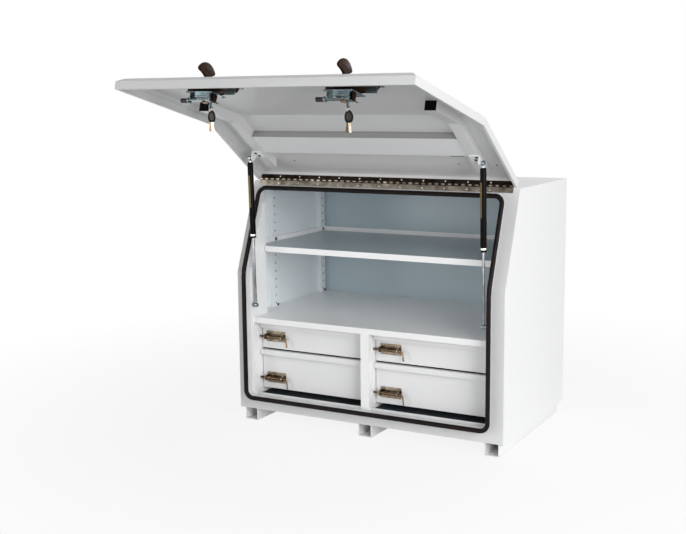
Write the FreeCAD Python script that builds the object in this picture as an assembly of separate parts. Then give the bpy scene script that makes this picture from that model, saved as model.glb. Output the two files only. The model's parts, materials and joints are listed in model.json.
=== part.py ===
import FreeCAD, Part
import math
import os

from FreeCAD import Vector

# Jobsite storage box: a sheet-steel box on skids with a cranked lift-up door, a shelf and four drawers.
# Millimetres, +Z up, +X to the right, the door on the -Y side. The origin is on the ground under the middle
# of the box. Rises are measured up from the underside of the box, setbacks back from its front plane, and
# offsets out from the front frame, square to it. The door is drawn closed and then swung open to rest.

# Box
box_width = 1000.0
box_depth = 600.0
box_height = 805.0
bend_rise = 490.0
top_setback = 125.0
sheet = 2.0
clear = 0.4
overrun = 5.0

# Skids
skid_height = 45.0
skid_width = 50.0
skid_wall = 3.0
skid_flange = 16.0
skid_side = 42.0
skid_setback = 8.0
tie_hole_radius = 5.5
tie_hole_spacing = 400.0
skid_bolt_radius = 5.0
skid_bolt_height = 4.0
skid_bolt_inset = 70.0

# Front frame, its lip and the seal
opening_side = 51.0
sill_rise = 53.0
opening_top = 31.5
opening_radius = 20.0
lip_height = 27.0
seal_inside = 2.5
seal_outside = 15.0
seal_back = 13.0
seal_front = 35.5
seal_round = 4.0

# Side liners, deck, divider, plinths and mats
liner_side = 59.0
liner_depth = 97.0
liner_flange = 24.0
bay_depth = 560.0
deck_rise = 330.0
deck_lip = 20.0
deck_setback = 10.0
divider_width = 31.0
plinth_setback = 20.0
plinth_rise = 56.0
bay_floor_rise = 44.0
mat = 3.0

# Drawers
front_setback = 60.0
front_gap = 2.5
front_lip = 15.0
front_lip_drop = 18.0
lower_drawer_rise = 66.0
lower_drawer_height = 141.0
upper_drawer_rise = 212.0
upper_drawer_height = 93.0
tray_sheet = 1.2
tray_depth = 480.0
tray_lift = 4.0
tray_drop = 14.0
runner_depth = 11.0
runner_height = 30.0
runner_wall = 1.5
tongue_gap = 2.5
runner_length = 450.0
runner_setback = 72.0
runner_lift = 10.0

# Drawer bolts
bolt_radius = 4.0
bolt_fit = 0.08
bolt_tip_gap = 0.8
bolt_travel = 12.0
bolt_stand = 17.0
upper_bolt_rise = 256.0
lower_bolt_rise = 106.0
bolt_plate_start = 20.0
bolt_plate_length = 78.0
bolt_plate_height = 38.0
bolt_plate = 2.0
bolt_lug = 3.0
bolt_lug_inset = 4.0
bolt_lug_height = 20.0
bolt_lug_over = 10.0
bolt_collar_radius = 6.8
bolt_collar = 2.5
bolt_collar_start = 40.0
bolt_tail_drop = 36.0
bolt_tail_radius = 3.5
spring_wire = 1.4
spring_gap = 0.9
spring_turns = 8
spring_lead = 3.5
spring_points = 60
keeper = 2.0
keeper_depth = 22.0
keeper_height = 30.0
keeper_hole_clear = 0.6

# Shelf and its uprights
upright_depth = 19.0
upright_width = 30.0
upright_top_gap = 14.0
front_upright_setback = 220.0
rear_upright_gap = 13.0
upright_hole_radius = 4.0
upright_hole_start = 13.0
upright_hole_pitch = 30.0
shelf_hole_row = 8
shelf_bolt_lift = 8.0
shelf_setback = 100.0
shelf_lip = 20.0
shelf_nose = 15.0
shelf_nose_clear = 3.0
shelf_upstand = 16.0
shelf_rear_gap = 13.0
shelf_bolt_fit = 0.1
shelf_bolt_head_radius = 6.0
shelf_bolt_head = 4.5
shelf_bolt_length = 9.0

# Piano hinge
hinge_side = 23.0
hinge_rise = 5.5
knuckle_radius = 3.5
knuckle_count = 81
knuckle_gap = 0.5
hinge_pin_radius = 1.5
hinge_pin_fit = 0.05
hinge_leaf = 1.2
hinge_leaf_reach = 21.0
hinge_rivet_radius = 3.0
hinge_rivet_height = 1.3
hinge_rivet_reach = 13.5
hinge_rivet_count = 11

# Door
door_angle = 103.8
door_gap = 2.0
door_depth = 36.0
door_side = 12.0
door_rise = 4.0
bevel_height = 12.0
bevel_width = 18.5
return_lip = 8.0
door_rail_side = 92.0
door_rail_width = 35.0
door_rail_depth = 28.0
door_rail_wall = 1.5
door_rail_rise = 320.0
door_rail_top = 68.0
cap_plate = 3.0
cap_plug = 12.0
crossbar_top = 155.0
crossbar_bottom = 252.0
crossbar_depth = 24.0

# Door latches
latch_side = 270.0
latch_rise = 105.0
dish_width = 150.0
dish_height = 116.0
dish_flange = 11.0
dish_rim = 2.5
dish_shift = 24.0
dish_depth = 30.0
dish_wall = 2.0
dish_radius = 12.0
housing_plate_width = 92.0
housing_plate_height = 84.0
housing_width = 52.0
housing_height = 46.0
housing_depth = 10.0
shaft_radius = 7.0
shaft_fit = 0.1
spacer_radius = 10.0
pawl_stand = 8.0
pawl = 4.0
pawl_width = 22.0
pawl_reach = 87.0
sleeve_length = 27.0
sleeve_radius = 7.0
tongue_radius = 4.0
sleeve_fit = 0.05
nut_radius = 11.0
nut_height = 7.0
paddle_pivot_sink = 10.0
paddle_pin_radius = 2.5
paddle_pin_fit = 0.08
paddle_length = 75.0
paddle_width = 84.0
paddle_stem = 18.0
paddle = 9.0
paddle_tilt = 95.0
clevis_width = 10.0
clevis_depth = 13.0
clevis_over = 6.0
fork_depth = 12.0

# Keys
key_shift = -6.0
key_lift = 36.0
key_stand = 31.0
key_ear = 2.0
key_ear_height = 12.0
key_pin_radius = 1.6
key_pin_length = 8.0
ring_radius = 8.0
ring_wire = 2.2
key_head_width = 26.0
key_head_height = 36.0
key_thickness = 2.4
key_spread = 1.6
key_hole_radius = 2.5
key_hole_inset = 5.0
key_blade_width = 9.0
key_blade_length = 26.0
key_fan = 7.0

# Gas struts
strut_side = 72.0
strut_stud_drop = 429.0
strut_stud_setback = 5.5
strut_door_down = 152.0
strut_door_sink = 9.8
barrel_radius = 10.0
barrel_room = 1.5
barrel_wall = 1.5
barrel_end = 3.0
gland = 8.0
strut_rod_radius = 4.0
strut_rod_fit = 0.08
piston = 8.0
piston_room = 7.5
piston_fit = 0.1
eye_radius = 8.0
eye_width = 8.0
eye_reach = 14.5
eye_fit = 0.08
neck_radius = 3.5
stud_radius = 4.0
stud_base_radius = 7.5
stud_base = 3.0
stud_head_radius = 6.5
stud_head = 2.0
bracket = 3.0
bracket_foot = 36.0
bracket_half = 16.0
bracket_over = 8.0

# Places worked out from the sizes above
half_width = box_width / 2
floor_z = skid_height
top_z = floor_z + box_height
bend_z = floor_z + bend_rise
front_y = -box_depth / 2
back_y = box_depth / 2
top_front_y = front_y + top_setback
slope_length = math.hypot(top_setback, box_height - bend_rise)
slope_y = top_setback / slope_length
slope_z = (box_height - bend_rise) / slope_length
bend_half_tan = math.tan(math.atan2(slope_y, slope_z) / 2)

inner_x = half_width - sheet
liner_x = half_width - liner_side
divider_x = divider_width / 2
bay_back_y = front_y + bay_depth
deck_z = floor_z + deck_rise
deck_under = deck_z - sheet
upright_face_x = inner_x - upright_depth
rear_upright_y = back_y - sheet - rear_upright_gap - upright_width / 2
upright_ys = (front_y + front_upright_setback, rear_upright_y)
shelf_bolt_z = deck_z + upright_hole_start + shelf_hole_row * upright_hole_pitch
shelf_z = shelf_bolt_z - shelf_bolt_lift
drawer_front_y = front_y + front_setback
bolt_y = drawer_front_y - bolt_stand
skid_xs = (-half_width + skid_side, 0, half_width - skid_side)
skin_offset = door_gap + door_depth
skin_inside = skin_offset - sheet
strut_x = half_width - strut_side
stud_y = front_y + strut_stud_setback
stud_z = top_z - strut_stud_drop
X_AXIS = Vector(1, 0, 0)
Y_AXIS = Vector(0, 1, 0)
Z_AXIS = Vector(0, 0, 1)


def bend_at(offset):
    """Bend of the front, moved out from the frame by offset, as (y, z)."""
    return front_y - offset, bend_z + offset * bend_half_tan


def slope_at(down, offset):
    """Point down the slope from the top front edge, moved out by offset, as (y, z)."""
    return (top_front_y - slope_y * down - slope_z * offset,
            top_z - slope_z * down + slope_y * offset)


def down_at(height, offset):
    """How far down the slope the height is reached at that offset."""
    return (top_z + slope_y * offset - height) / slope_z


def front_line(offset, low, high):
    """The front's line at an offset, from one height to another over the bend."""
    return [(front_y - offset, low), bend_at(offset), slope_at(down_at(high, offset), offset)]


hinge_y, hinge_z = slope_at(-hinge_rise, knuckle_radius)


def box(xs, ys, zs):
    """Block between pairs of coordinates in any order."""
    low = Vector(min(xs), min(ys), min(zs))
    return Part.makeBox(max(xs) - low.x, max(ys) - low.y, max(zs) - low.z, low)


def prism(points, along):
    """Flat outline of 3-D points pushed along a vector."""
    return Part.Face(Part.makePolygon(points + points[:1])).extrude(along)


def prism_x(points, xs):
    """Outline of (y, z) points between two places along X."""
    return prism([Vector(min(xs), y, z) for y, z in points], X_AXIS * (max(xs) - min(xs)))


def rod(start, end, radius):
    """Round bar between two points."""
    return Part.makeCylinder(radius, (end - start).Length, start, end - start)


def fuse(first, *others):
    """One clean solid from touching pieces."""
    return first.fuse(list(others)).removeSplitter()


def front_slab(inner, outer, low, high, xs):
    """Sheet that follows the front between two offsets and two heights."""
    return prism_x(front_line(outer, low, high) + front_line(inner, low, high)[::-1], xs)


def mirrored(shape):
    """The same piece on the other side of the box."""
    return shape.mirror(Vector(0, 0, 0), X_AXIS)


def both(shape):
    """A piece and its mirror image."""
    return [shape, mirrored(shape)]


def opened(shape):
    """A door piece swung from closed to open about the hinge."""
    return shape.rotated(Vector(0, hinge_y, hinge_z), X_AXIS, -door_angle)


def opened_point(x, y, z):
    """A door point swung from closed to open."""
    turn = FreeCAD.Rotation(X_AXIS, -door_angle)
    middle = Vector(0, hinge_y, hinge_z)
    return turn.multVec(Vector(x, y, z) - middle) + middle


def rounded_block(xs, ys, zs, radius):
    """Block with its four edges along Y rounded."""
    block = box(xs, ys, zs)
    edges = [edge for edge in block.Edges if abs(edge.Vertexes[0].Y - edge.Vertexes[1].Y) > clear]
    return block.makeFillet(radius, edges)


def opening_block(grow):
    """Block through the front in the shape of the door opening, grown on every side."""
    side = half_width - opening_side + grow
    high = slope_at(opening_top, 0)[1] + grow
    reach = (front_y - seal_front - overrun, front_y + top_setback + overrun)
    return rounded_block((-side, side), reach, (floor_z + sill_rise - grow, high), opening_radius + grow)


def save(node, *shapes):
    """Write a node's solids to its own file."""
    solids = [solid for shape in shapes for solid in shape.Solids]
    whole = solids[0] if len(solids) == 1 else Part.makeCompound(solids)
    whole.exportStep(f"parts/{node}.step")
    print(f"{node}: {len(solids)} solids, {whole.Volume / 1000:.1f} cm3, valid {whole.isValid()}")


def make_panels():
    """Floor, back, top and sides of the box."""
    across = (-inner_x, inner_x)
    side = [(front_y, floor_z), (front_y, bend_z), (top_front_y, top_z), (back_y, top_z), (back_y, floor_z)]
    top_low = top_z - sheet
    lid = [(top_front_y, top_z), slope_at(down_at(top_low, 0), 0), (back_y, top_low), (back_y, top_z)]
    save("floor_panel", box(across, (front_y + sheet, back_y - sheet), (floor_z, floor_z + sheet)))
    save("back_panel", box(across, (back_y - sheet, back_y), (floor_z, top_low)))
    save("top_panel", prism_x(lid, across))
    save("side_panel_left", prism_x(side, (-half_width, -inner_x)))
    save("side_panel_right", prism_x(side, (inner_x, half_width)))


def make_front_frame():
    """Flat frame round the opening with the lip that stands out of it, and the seal on the lip."""
    low, high, across = floor_z, top_z - sheet, (-inner_x, inner_x)
    hole = opening_block(0)
    band = front_slab(-sheet, 0, low, high, across).cut(hole)
    lip = opening_block(sheet).cut(hole).common(front_slab(-sheet, lip_height, low, high, across))
    save("front_frame", fuse(band, lip))
    ring = opening_block(seal_outside).cut(opening_block(-seal_inside))
    seal = ring.common(front_slab(seal_back, seal_front, low, high, across))
    slot = opening_block(sheet).cut(hole).common(front_slab(-sheet, lip_height, low, high, across))
    save("door_seal", seal.cut(slot))


def make_side_liners():
    """Jamb faces inside the opening, which run back beside the drawers under the deck."""
    low, rear = floor_z + sheet, front_y + liner_depth
    top = slope_at((top_front_y + slope_z * sheet - rear) / slope_y, -sheet)
    face = [(front_y + sheet, low), bend_at(-sheet), top, (rear, deck_under), (bay_back_y, deck_under),
            (bay_back_y, low)]
    plate = prism_x(face, (liner_x, liner_x + sheet))
    flange_xs = (liner_x + sheet, liner_x + liner_flange)
    flange = front_slab(-sheet - sheet, -sheet, low, top[1] - sheet, flange_xs)
    closer = box((liner_x + sheet, inner_x), (rear - sheet, rear), (deck_z, top[1] - sheet))
    closer = closer.cut(front_slab(-sheet - sheet, 0, low, top_z, (0, half_width)))
    liner = fuse(plate, flange, closer)
    holes = [rod(Vector(liner_x - overrun, bolt_y, floor_z + rise),
                 Vector(liner_x + sheet + overrun, bolt_y, floor_z + rise), bolt_radius + keeper_hole_clear)
             for rise in (upper_bolt_rise, lower_bolt_rise)]
    save("side_liners", liner, mirrored(liner.cut(holes)))


def make_drawer_carcass():
    """Deck over the drawers, the divider between them, and the plinths with their mats."""
    deck_front, rear = front_y + deck_setback, front_y + liner_depth
    plates = [box((-liner_x, liner_x), (deck_front, rear), (deck_under, deck_z)),
              box((-inner_x, inner_x), (rear, back_y - sheet), (deck_under, deck_z)),
              box((-liner_x, liner_x), (deck_front, deck_front + sheet), (deck_z - deck_lip, deck_z))]
    save("drawer_deck", fuse(*plates))

    low = floor_z + sheet
    post = box((-divider_x, divider_x), (deck_front, bay_back_y), (low, deck_under))
    hollow = box((sheet - divider_x, divider_x - sheet), (deck_front + sheet, bay_back_y + overrun),
                 (low - overrun, deck_z))
    notch = box((-divider_x - overrun, divider_x + overrun), (deck_front - overrun, deck_front + sheet),
                (deck_z - deck_lip, deck_z))
    holes = [rod(Vector(0, bolt_y, floor_z + rise), Vector(divider_x + overrun, bolt_y, floor_z + rise),
                 bolt_radius + keeper_hole_clear) for rise in (upper_bolt_rise, lower_bolt_rise)]
    save("drawer_divider", post.cut([hollow, notch] + holes))

    face_y, end_y = front_y + plinth_setback, bay_back_y
    bay, floor = (divider_x, liner_x), floor_z + bay_floor_rise
    plinth = fuse(box(bay, (face_y, face_y + sheet), (low, floor_z + plinth_rise)),
                  box(bay, (face_y, end_y), (floor - sheet, floor)),
                  box(bay, (end_y - sheet, end_y), (low, floor)))
    save("drawer_plinths", *both(plinth))
    save("bay_mats", *both(box(bay, (face_y + sheet, end_y), (floor, floor + mat))))


def tray_outline(bottom, height):
    """Lowest and highest place of a drawer's tray behind its front."""
    return floor_z + bottom + tray_lift, floor_z + bottom + height - tray_drop


def runner_middle(bottom):
    """Height of the middle of a drawer's runners."""
    return floor_z + bottom + tray_lift + runner_lift + runner_height / 2


def make_runner(face_x, towards, bottom):
    """One fixed runner: a C section on a bay wall, open towards the drawer."""
    start = front_y + runner_setback
    ys, middle, half = (start, start + runner_length), runner_middle(bottom), runner_height / 2
    body = box((face_x, face_x + towards * runner_depth), ys, (middle - half, middle + half))
    groove = box((face_x + towards * runner_wall, face_x + towards * (runner_depth + overrun)),
                 (ys[0] - overrun, ys[1] + overrun),
                 (middle - half + runner_wall, middle + half - runner_wall))
    return body.cut(groove)


def make_tray(bottom, height, side):
    """One drawer: front with its folded top lip, open tray, and the tongues that slide in the runners."""
    bay = (divider_x, liner_x)
    low, high = floor_z + bottom, floor_z + bottom + height
    front_xs = (bay[0] + front_gap, bay[1] - front_gap)
    lip_y = drawer_front_y - front_lip
    pieces = [box(front_xs, (drawer_front_y, drawer_front_y + sheet), (low, high)),
              box(front_xs, (lip_y, drawer_front_y + sheet), (high - sheet, high)),
              box(front_xs, (lip_y, lip_y + sheet), (high - front_lip_drop, high))]
    tray_low, tray_high = tray_outline(bottom, height)
    wall_xs = (bay[0] + runner_depth + front_gap, bay[1] - runner_depth - front_gap)
    ys = (drawer_front_y, drawer_front_y + tray_depth)
    inside = box((wall_xs[0] + tray_sheet, wall_xs[1] - tray_sheet),
                 (drawer_front_y + sheet, ys[1] - tray_sheet), (tray_low + tray_sheet, tray_high + overrun))
    pieces.append(box(wall_xs, ys, (tray_low, tray_high)).cut(inside))
    middle, half = runner_middle(bottom), runner_height / 2 - runner_wall - clear
    reach = front_gap + runner_depth - runner_wall - tongue_gap
    tongue_ys = (front_y + runner_setback, front_y + runner_setback + runner_length)
    for wall, towards in ((wall_xs[0], -1), (wall_xs[1], 1)):
        tongue = box((wall, wall + towards * reach), tongue_ys, (middle - half, middle + half))
        hollow = box((wall, wall + towards * (reach - runner_wall)),
                     (tongue_ys[0] - overrun, tongue_ys[1] + overrun),
                     (middle - half + runner_wall, middle + half - runner_wall))
        pieces.append(tongue.cut(hollow))
    tray = fuse(*pieces)
    return tray if side > 0 else mirrored(tray)


def bolt_frame(jamb_x, axis_z):
    """Base plate of a drawer bolt with its two lugs."""
    start = jamb_x + bolt_plate_start
    end = start + bolt_plate_length
    half = bolt_plate_height / 2
    plate_y = drawer_front_y - bolt_plate
    pieces = [box((start, end), (plate_y, drawer_front_y), (axis_z - half, axis_z + half))]
    lug_half = bolt_lug_height / 2
    for lug_x in (start + bolt_lug_inset, end - bolt_lug_inset - bolt_lug):
        lug = box((lug_x, lug_x + bolt_lug), (bolt_y, plate_y), (axis_z - lug_half, axis_z + lug_half))
        nose = rod(Vector(lug_x, bolt_y, axis_z), Vector(lug_x + bolt_lug, bolt_y, axis_z), lug_half)
        pieces += [lug, nose]
    bore = rod(Vector(start - overrun, bolt_y, axis_z), Vector(end + overrun, bolt_y, axis_z),
               bolt_radius + bolt_fit)
    return fuse(*pieces).cut(bore)


def bolt_rod(jamb_x, axis_z):
    """Sliding bolt with the collar that its spring pushes and its bent tail."""
    tip = jamb_x + keeper + bolt_tip_gap
    lug_end = jamb_x + bolt_plate_start + bolt_plate_length - bolt_lug_inset
    tail_x = lug_end + bolt_travel + bolt_radius + bolt_tip_gap
    corner = Vector(tail_x, bolt_y, axis_z)
    collar_x = jamb_x + bolt_collar_start
    return fuse(rod(Vector(tip, bolt_y, axis_z), corner, bolt_radius),
                Part.makeSphere(bolt_radius, corner),
                rod(corner, corner - Z_AXIS * bolt_tail_drop, bolt_tail_radius),
                rod(Vector(collar_x, bolt_y, axis_z), Vector(collar_x + bolt_collar, bolt_y, axis_z),
                    bolt_collar_radius))


def arc_from(start, tangent, end):
    """Arc that leaves start along tangent and reaches end, as an edge."""
    chord = end - start
    along = Vector(chord).normalize()
    side = tangent - along * tangent.dot(along)
    rise = chord.Length / 2 * math.tan(tangent.getAngle(along) / 2)
    return Part.Arc(start, start + chord / 2 + Vector(side).normalize() * rise, end).toShape()


def biarc(start, start_tangent, end, end_tangent):
    """Two arcs that join smoothly between two points with given tangents."""
    across, both_tangents = end - start, start_tangent + end_tangent
    spread = 2 * (1 - start_tangent.dot(end_tangent))
    lean = across.dot(both_tangents)
    reach = (math.sqrt(lean * lean + spread * across.dot(across)) - lean) / spread
    joint = (start + end + (start_tangent - end_tangent) * reach) / 2
    second = arc_from(end, -end_tangent, joint)
    return [arc_from(start, start_tangent, joint), second]


def spring_path(jamb_x, axis_z):
    """Edges along the middle of a bolt spring's wire, from the collar to the far lug."""
    radius = bolt_radius + spring_gap + spring_wire / 2
    start_x = jamb_x + bolt_collar_start + bolt_collar
    end_x = jamb_x + bolt_plate_start + bolt_plate_length - bolt_lug_inset - bolt_lug
    lead = spring_wire + spring_lead
    pitch = (end_x - start_x - 2 * lead) / spring_turns
    first_x = start_x + lead

    def on_helix(angle):
        return Vector(first_x + pitch * angle / math.tau, bolt_y + radius * math.cos(angle),
                      axis_z + radius * math.sin(angle))

    def tangent(angle):
        way = Vector(pitch / math.tau, -radius * math.sin(angle), radius * math.cos(angle))
        return way.normalize()

    quarter, last = math.pi / 2, spring_turns * math.tau
    angles = [half * math.pi for half in range(2 * spring_turns + 1)]
    foot, head = on_helix(-quarter), on_helix(last + quarter)
    foot.x, head.x = start_x, end_x
    foot_end, head_start = foot + X_AXIS * spring_wire, head - X_AXIS * spring_wire
    edges = [Part.LineSegment(foot, foot_end).toShape()]
    edges += biarc(foot_end, X_AXIS, on_helix(0), tangent(0))
    for here, there in zip(angles, angles[1:]):
        edges += biarc(on_helix(here), tangent(here), on_helix(there), tangent(there))
    edges += biarc(on_helix(last), tangent(last), head_start, X_AXIS)
    edges.append(Part.LineSegment(head_start, head).toShape())
    return edges


def spring_gap_to_itself(wire):
    """Least free gap between the turns of a wire, measured on points along its middle."""
    points = wire.discretize(Number=spring_points * spring_turns)
    step = wire.Length / len(points)
    apart = int(math.pi * bolt_radius / step)
    nearest = min(points[i].distanceToPoint(points[j])
                  for i in range(len(points)) for j in range(i + apart, len(points)))
    return nearest - spring_wire


def bolt_spring(jamb_x, axis_z):
    """Coil spring round the bolt, one unbroken wire."""
    wire = Part.Wire(Part.__sortEdges__(spring_path(jamb_x, axis_z)))
    start = wire.Edges[0].valueAt(wire.Edges[0].FirstParameter)
    circle = Part.Wire(Part.makeCircle(spring_wire / 2, start, X_AXIS))
    print(f"spring: least gap to itself {spring_gap_to_itself(wire):.2f} mm, wire {wire.Length:.1f} mm")
    return wire.makePipeShell([circle], True, False)


def make_drawers():
    """Four drawers with their bolts, and the runners and keepers that stay in the box."""
    rows = {"upper": (upper_drawer_rise, upper_drawer_height, upper_bolt_rise),
            "lower": (lower_drawer_rise, lower_drawer_height, lower_bolt_rise)}
    runners, keepers = [], []
    for row, (rise, height, bolt_rise) in rows.items():
        axis_z = floor_z + bolt_rise
        for name, side, jamb_x in (("left", -1, -liner_x), ("right", 1, divider_x)):
            node = f"{row}_{name}"
            save(f"drawer_tray_{node}", make_tray(rise, height, side))
            save(f"drawer_bolt_frame_{node}", bolt_frame(jamb_x, axis_z))
            save(f"drawer_bolt_rod_{node}", bolt_rod(jamb_x, axis_z))
            save(f"drawer_bolt_spring_{node}", bolt_spring(jamb_x, axis_z))
            half_deep, half_high = keeper_depth / 2, keeper_height / 2
            plate = box((jamb_x, jamb_x + keeper), (bolt_y - half_deep, bolt_y + half_deep),
                        (axis_z - half_high, axis_z + half_high))
            seat = Vector(jamb_x, bolt_y, axis_z)
            past = X_AXIS * (keeper + overrun)
            keepers.append(plate.cut(rod(seat - past, seat + past, bolt_radius + keeper_hole_clear)))
        runners += both(make_runner(divider_x, 1, rise)) + both(make_runner(liner_x, -1, rise))
    save("runner_rails", *runners)
    save("bolt_keepers", *keepers)


def make_shelf():
    """Perforated uprights on the side walls and the shelf bolted between them."""
    low, high = deck_z, top_z - sheet - upright_top_gap
    uprights, bolts, shelf_holes = [], [], []
    for middle in upright_ys:
        half = upright_width / 2
        channel = box((upright_face_x, inner_x), (middle - half, middle + half), (low, high))
        groove = box((upright_face_x + sheet, inner_x + overrun),
                     (middle - half + sheet, middle + half - sheet), (low - overrun, high + overrun))
        rows = 1 + int((high - low - 2 * upright_hole_start) / upright_hole_pitch)
        places = [deck_z + upright_hole_start + n * upright_hole_pitch for n in range(rows)]
        face_xs = (upright_face_x - overrun, upright_face_x + overrun)
        holes = [rod(Vector(face_xs[0], middle, z), Vector(face_xs[1], middle, z), upright_hole_radius)
                 for z in places]
        uprights += both(channel.cut([groove] + holes))
        seat = Vector(upright_face_x - sheet, middle, shelf_bolt_z)
        shelf_holes += both(rod(seat - X_AXIS * overrun, seat + X_AXIS * overrun, upright_hole_radius))
        shank = rod(seat, seat + X_AXIS * shelf_bolt_length, upright_hole_radius - shelf_bolt_fit)
        bolts += both(fuse(shank, rod(seat - X_AXIS * shelf_bolt_head, seat, shelf_bolt_head_radius)))
    save("shelf_uprights", *uprights)
    save("shelf_bolts", *bolts)

    side, front, rear = upright_face_x, front_y + shelf_setback, back_y - sheet - shelf_rear_gap
    under = shelf_z - sheet
    stand = shelf_z + shelf_upstand
    nose, tip = liner_x - shelf_nose_clear, front - shelf_nose
    shelf = fuse(box((-side, side), (front, rear), (under, shelf_z)),
                 box((-nose, nose), (tip, front), (under, shelf_z)),
                 box((-nose, nose), (tip, tip + sheet), (shelf_z - shelf_lip, shelf_z)),
                 box((-side, side), (rear - sheet, rear), (under, stand)),
                 box((-side, sheet - side), (front + shelf_lip, rear), (under, stand)),
                 box((side - sheet, side), (front + shelf_lip, rear), (under, stand)))
    save("adjustable_shelf", shelf.cut(shelf_holes))


def make_skids():
    """Three hat-section skids with tie-down holes, and the bolts through their flanges."""
    ys = (front_y + skid_setback, back_y - skid_setback)
    half, out = skid_width / 2, skid_width / 2 + skid_flange
    skids, bolts = [], []
    for middle in skid_xs:
        hat = fuse(box((middle - half, middle + half), ys, (0, floor_z)),
                   box((middle - out, middle + out), ys, (floor_z - skid_wall, floor_z)))
        tunnel = box((middle - half + skid_wall, middle + half - skid_wall),
                     (ys[0] - overrun, ys[1] + overrun), (skid_wall, floor_z + overrun))
        holes = [rod(Vector(middle, y, -overrun), Vector(middle, y, skid_wall + overrun), tie_hole_radius)
                 for y in (-tie_hole_spacing / 2, tie_hole_spacing / 2)]
        skids.append(hat.cut([tunnel] + holes))
        for x in (middle - half - skid_flange / 2, middle + half + skid_flange / 2):
            for y in (ys[0] + skid_bolt_inset, 0, ys[1] - skid_bolt_inset):
                seat = Vector(x, y, floor_z - skid_wall)
                bolts.append(rod(seat - Z_AXIS * skid_bolt_height, seat, skid_bolt_radius))
    save("skids", *skids)
    save("skid_bolts", *bolts)


def hinge_leaf_solid(plate, segments, others):
    """Hinge leaf with its own knuckles, cleared where the other leaf's knuckles turn."""
    def bar(span, radius):
        return rod(Vector(span[0], hinge_y, hinge_z), Vector(span[1], hinge_y, hinge_z), radius)

    knuckles = [bar(span, knuckle_radius) for span in segments]
    wide = [bar((a - knuckle_gap, b + knuckle_gap), knuckle_radius + clear) for a, b in others]
    end = half_width - hinge_side + overrun
    bore = bar((-end, end), hinge_pin_radius + hinge_pin_fit)
    return fuse(plate.cut(wide), *knuckles).cut(bore)


def make_hinge():
    """Piano hinge along the top of the front: two leaves, their rivets and the pin."""
    end = half_width - hinge_side
    pitch = 2 * end / knuckle_count
    spans = [(n * pitch - end + knuckle_gap / 2, (n + 1) * pitch - end - knuckle_gap / 2)
             for n in range(knuckle_count)]
    xs = (spans[0][0], spans[-1][1])
    foot = hinge_leaf_reach - hinge_rise
    frame_plate = prism_x([slope_at(foot, 0), slope_at(foot, hinge_leaf), slope_at(-hinge_rise, hinge_leaf),
                           slope_at(-hinge_rise, 0)], xs)
    save("hinge_frame_leaf", hinge_leaf_solid(frame_plate, spans[::2], spans[1::2]))
    save("hinge_pin", rod(Vector(-end, hinge_y, hinge_z), Vector(end, hinge_y, hinge_z), hinge_pin_radius))
    outer = -hinge_rise - knuckle_radius - clear
    inner = outer + hinge_leaf
    reach = knuckle_radius + hinge_leaf_reach
    door_plate = prism_x([slope_at(inner, knuckle_radius), slope_at(outer, knuckle_radius),
                          slope_at(outer, reach), slope_at(inner, reach)], xs)
    save("hinge_door_leaf", opened(hinge_leaf_solid(door_plate, spans[1::2], spans[::2])))

    places = [2 * end * (n + 1) / (hinge_rivet_count + 1) - end for n in range(hinge_rivet_count)]
    down = hinge_rivet_reach - hinge_rise
    lift = knuckle_radius + hinge_rivet_reach
    frame_rivets = [rod(Vector(x, *slope_at(down, hinge_leaf)),
                        Vector(x, *slope_at(down, hinge_leaf + hinge_rivet_height)), hinge_rivet_radius)
                    for x in places]
    door_rivets = [rod(Vector(x, *slope_at(inner, lift)),
                       Vector(x, *slope_at(inner + hinge_rivet_height, lift)), hinge_rivet_radius)
                   for x in places]
    save("hinge_frame_rivets", *frame_rivets)
    save("hinge_door_rivets", *[opened(rivet) for rivet in door_rivets])


def door_block(inset, back, top):
    """Solid in the shape of the closed door, drawn in by inset, from the back offset out to its face."""
    tilt = bevel_height / bevel_width
    slant = math.hypot(1, tilt)
    face = skin_offset - inset
    flange = skin_offset - bevel_height + inset * tilt - inset * slant
    flat = (bevel_height - inset + inset * slant) / tilt
    bottom, half = floor_z + door_rise, half_width - door_side
    outline = [(front_y - back, bottom + inset), (front_y - flange, bottom + inset),
               (front_y - face, bottom + flat), bend_at(face), slope_at(top, face), slope_at(top, back),
               bend_at(back)]
    block = prism_x(outline, (inset - half, half - inset))
    over_flat, over_edge = overrun * tilt, half - inset + overrun
    corners = [(over_edge, flange - over_flat), (half - flat - overrun, face + over_flat),
               (over_edge, face + over_flat)]
    lower = prism([Vector(x, front_y - o, bottom - overrun) for x, o in corners],
                  Z_AXIS * (bend_rise + slope_length))
    start = slope_at(top - overrun, 0)
    slope_base = [Vector(x, start[0] - slope_z * o, start[1] + slope_y * o) for x, o in corners]
    upper = prism(slope_base, Vector(0, -slope_y, -slope_z) * (bend_rise + slope_length))
    return block.cut(both(lower) + both(upper))


def latch_places():
    """Shaft axes of the two latches on the closed door, as (name, x, z)."""
    middle = half_width - latch_side
    return (("left", -middle, floor_z + latch_rise), ("right", middle, floor_z + latch_rise))


def dish_block(x, z, shrink, offsets):
    """Rounded block of a latch dish's size, drawn in on every side, between two offsets."""
    middle = x + dish_shift
    half_w, half_h = dish_width / 2 - shrink, dish_height / 2 - shrink
    ys = (front_y - offsets[0], front_y - offsets[1])
    return rounded_block((middle - half_w, middle + half_w), ys, (z - half_h, z + half_h), dish_radius)


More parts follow.
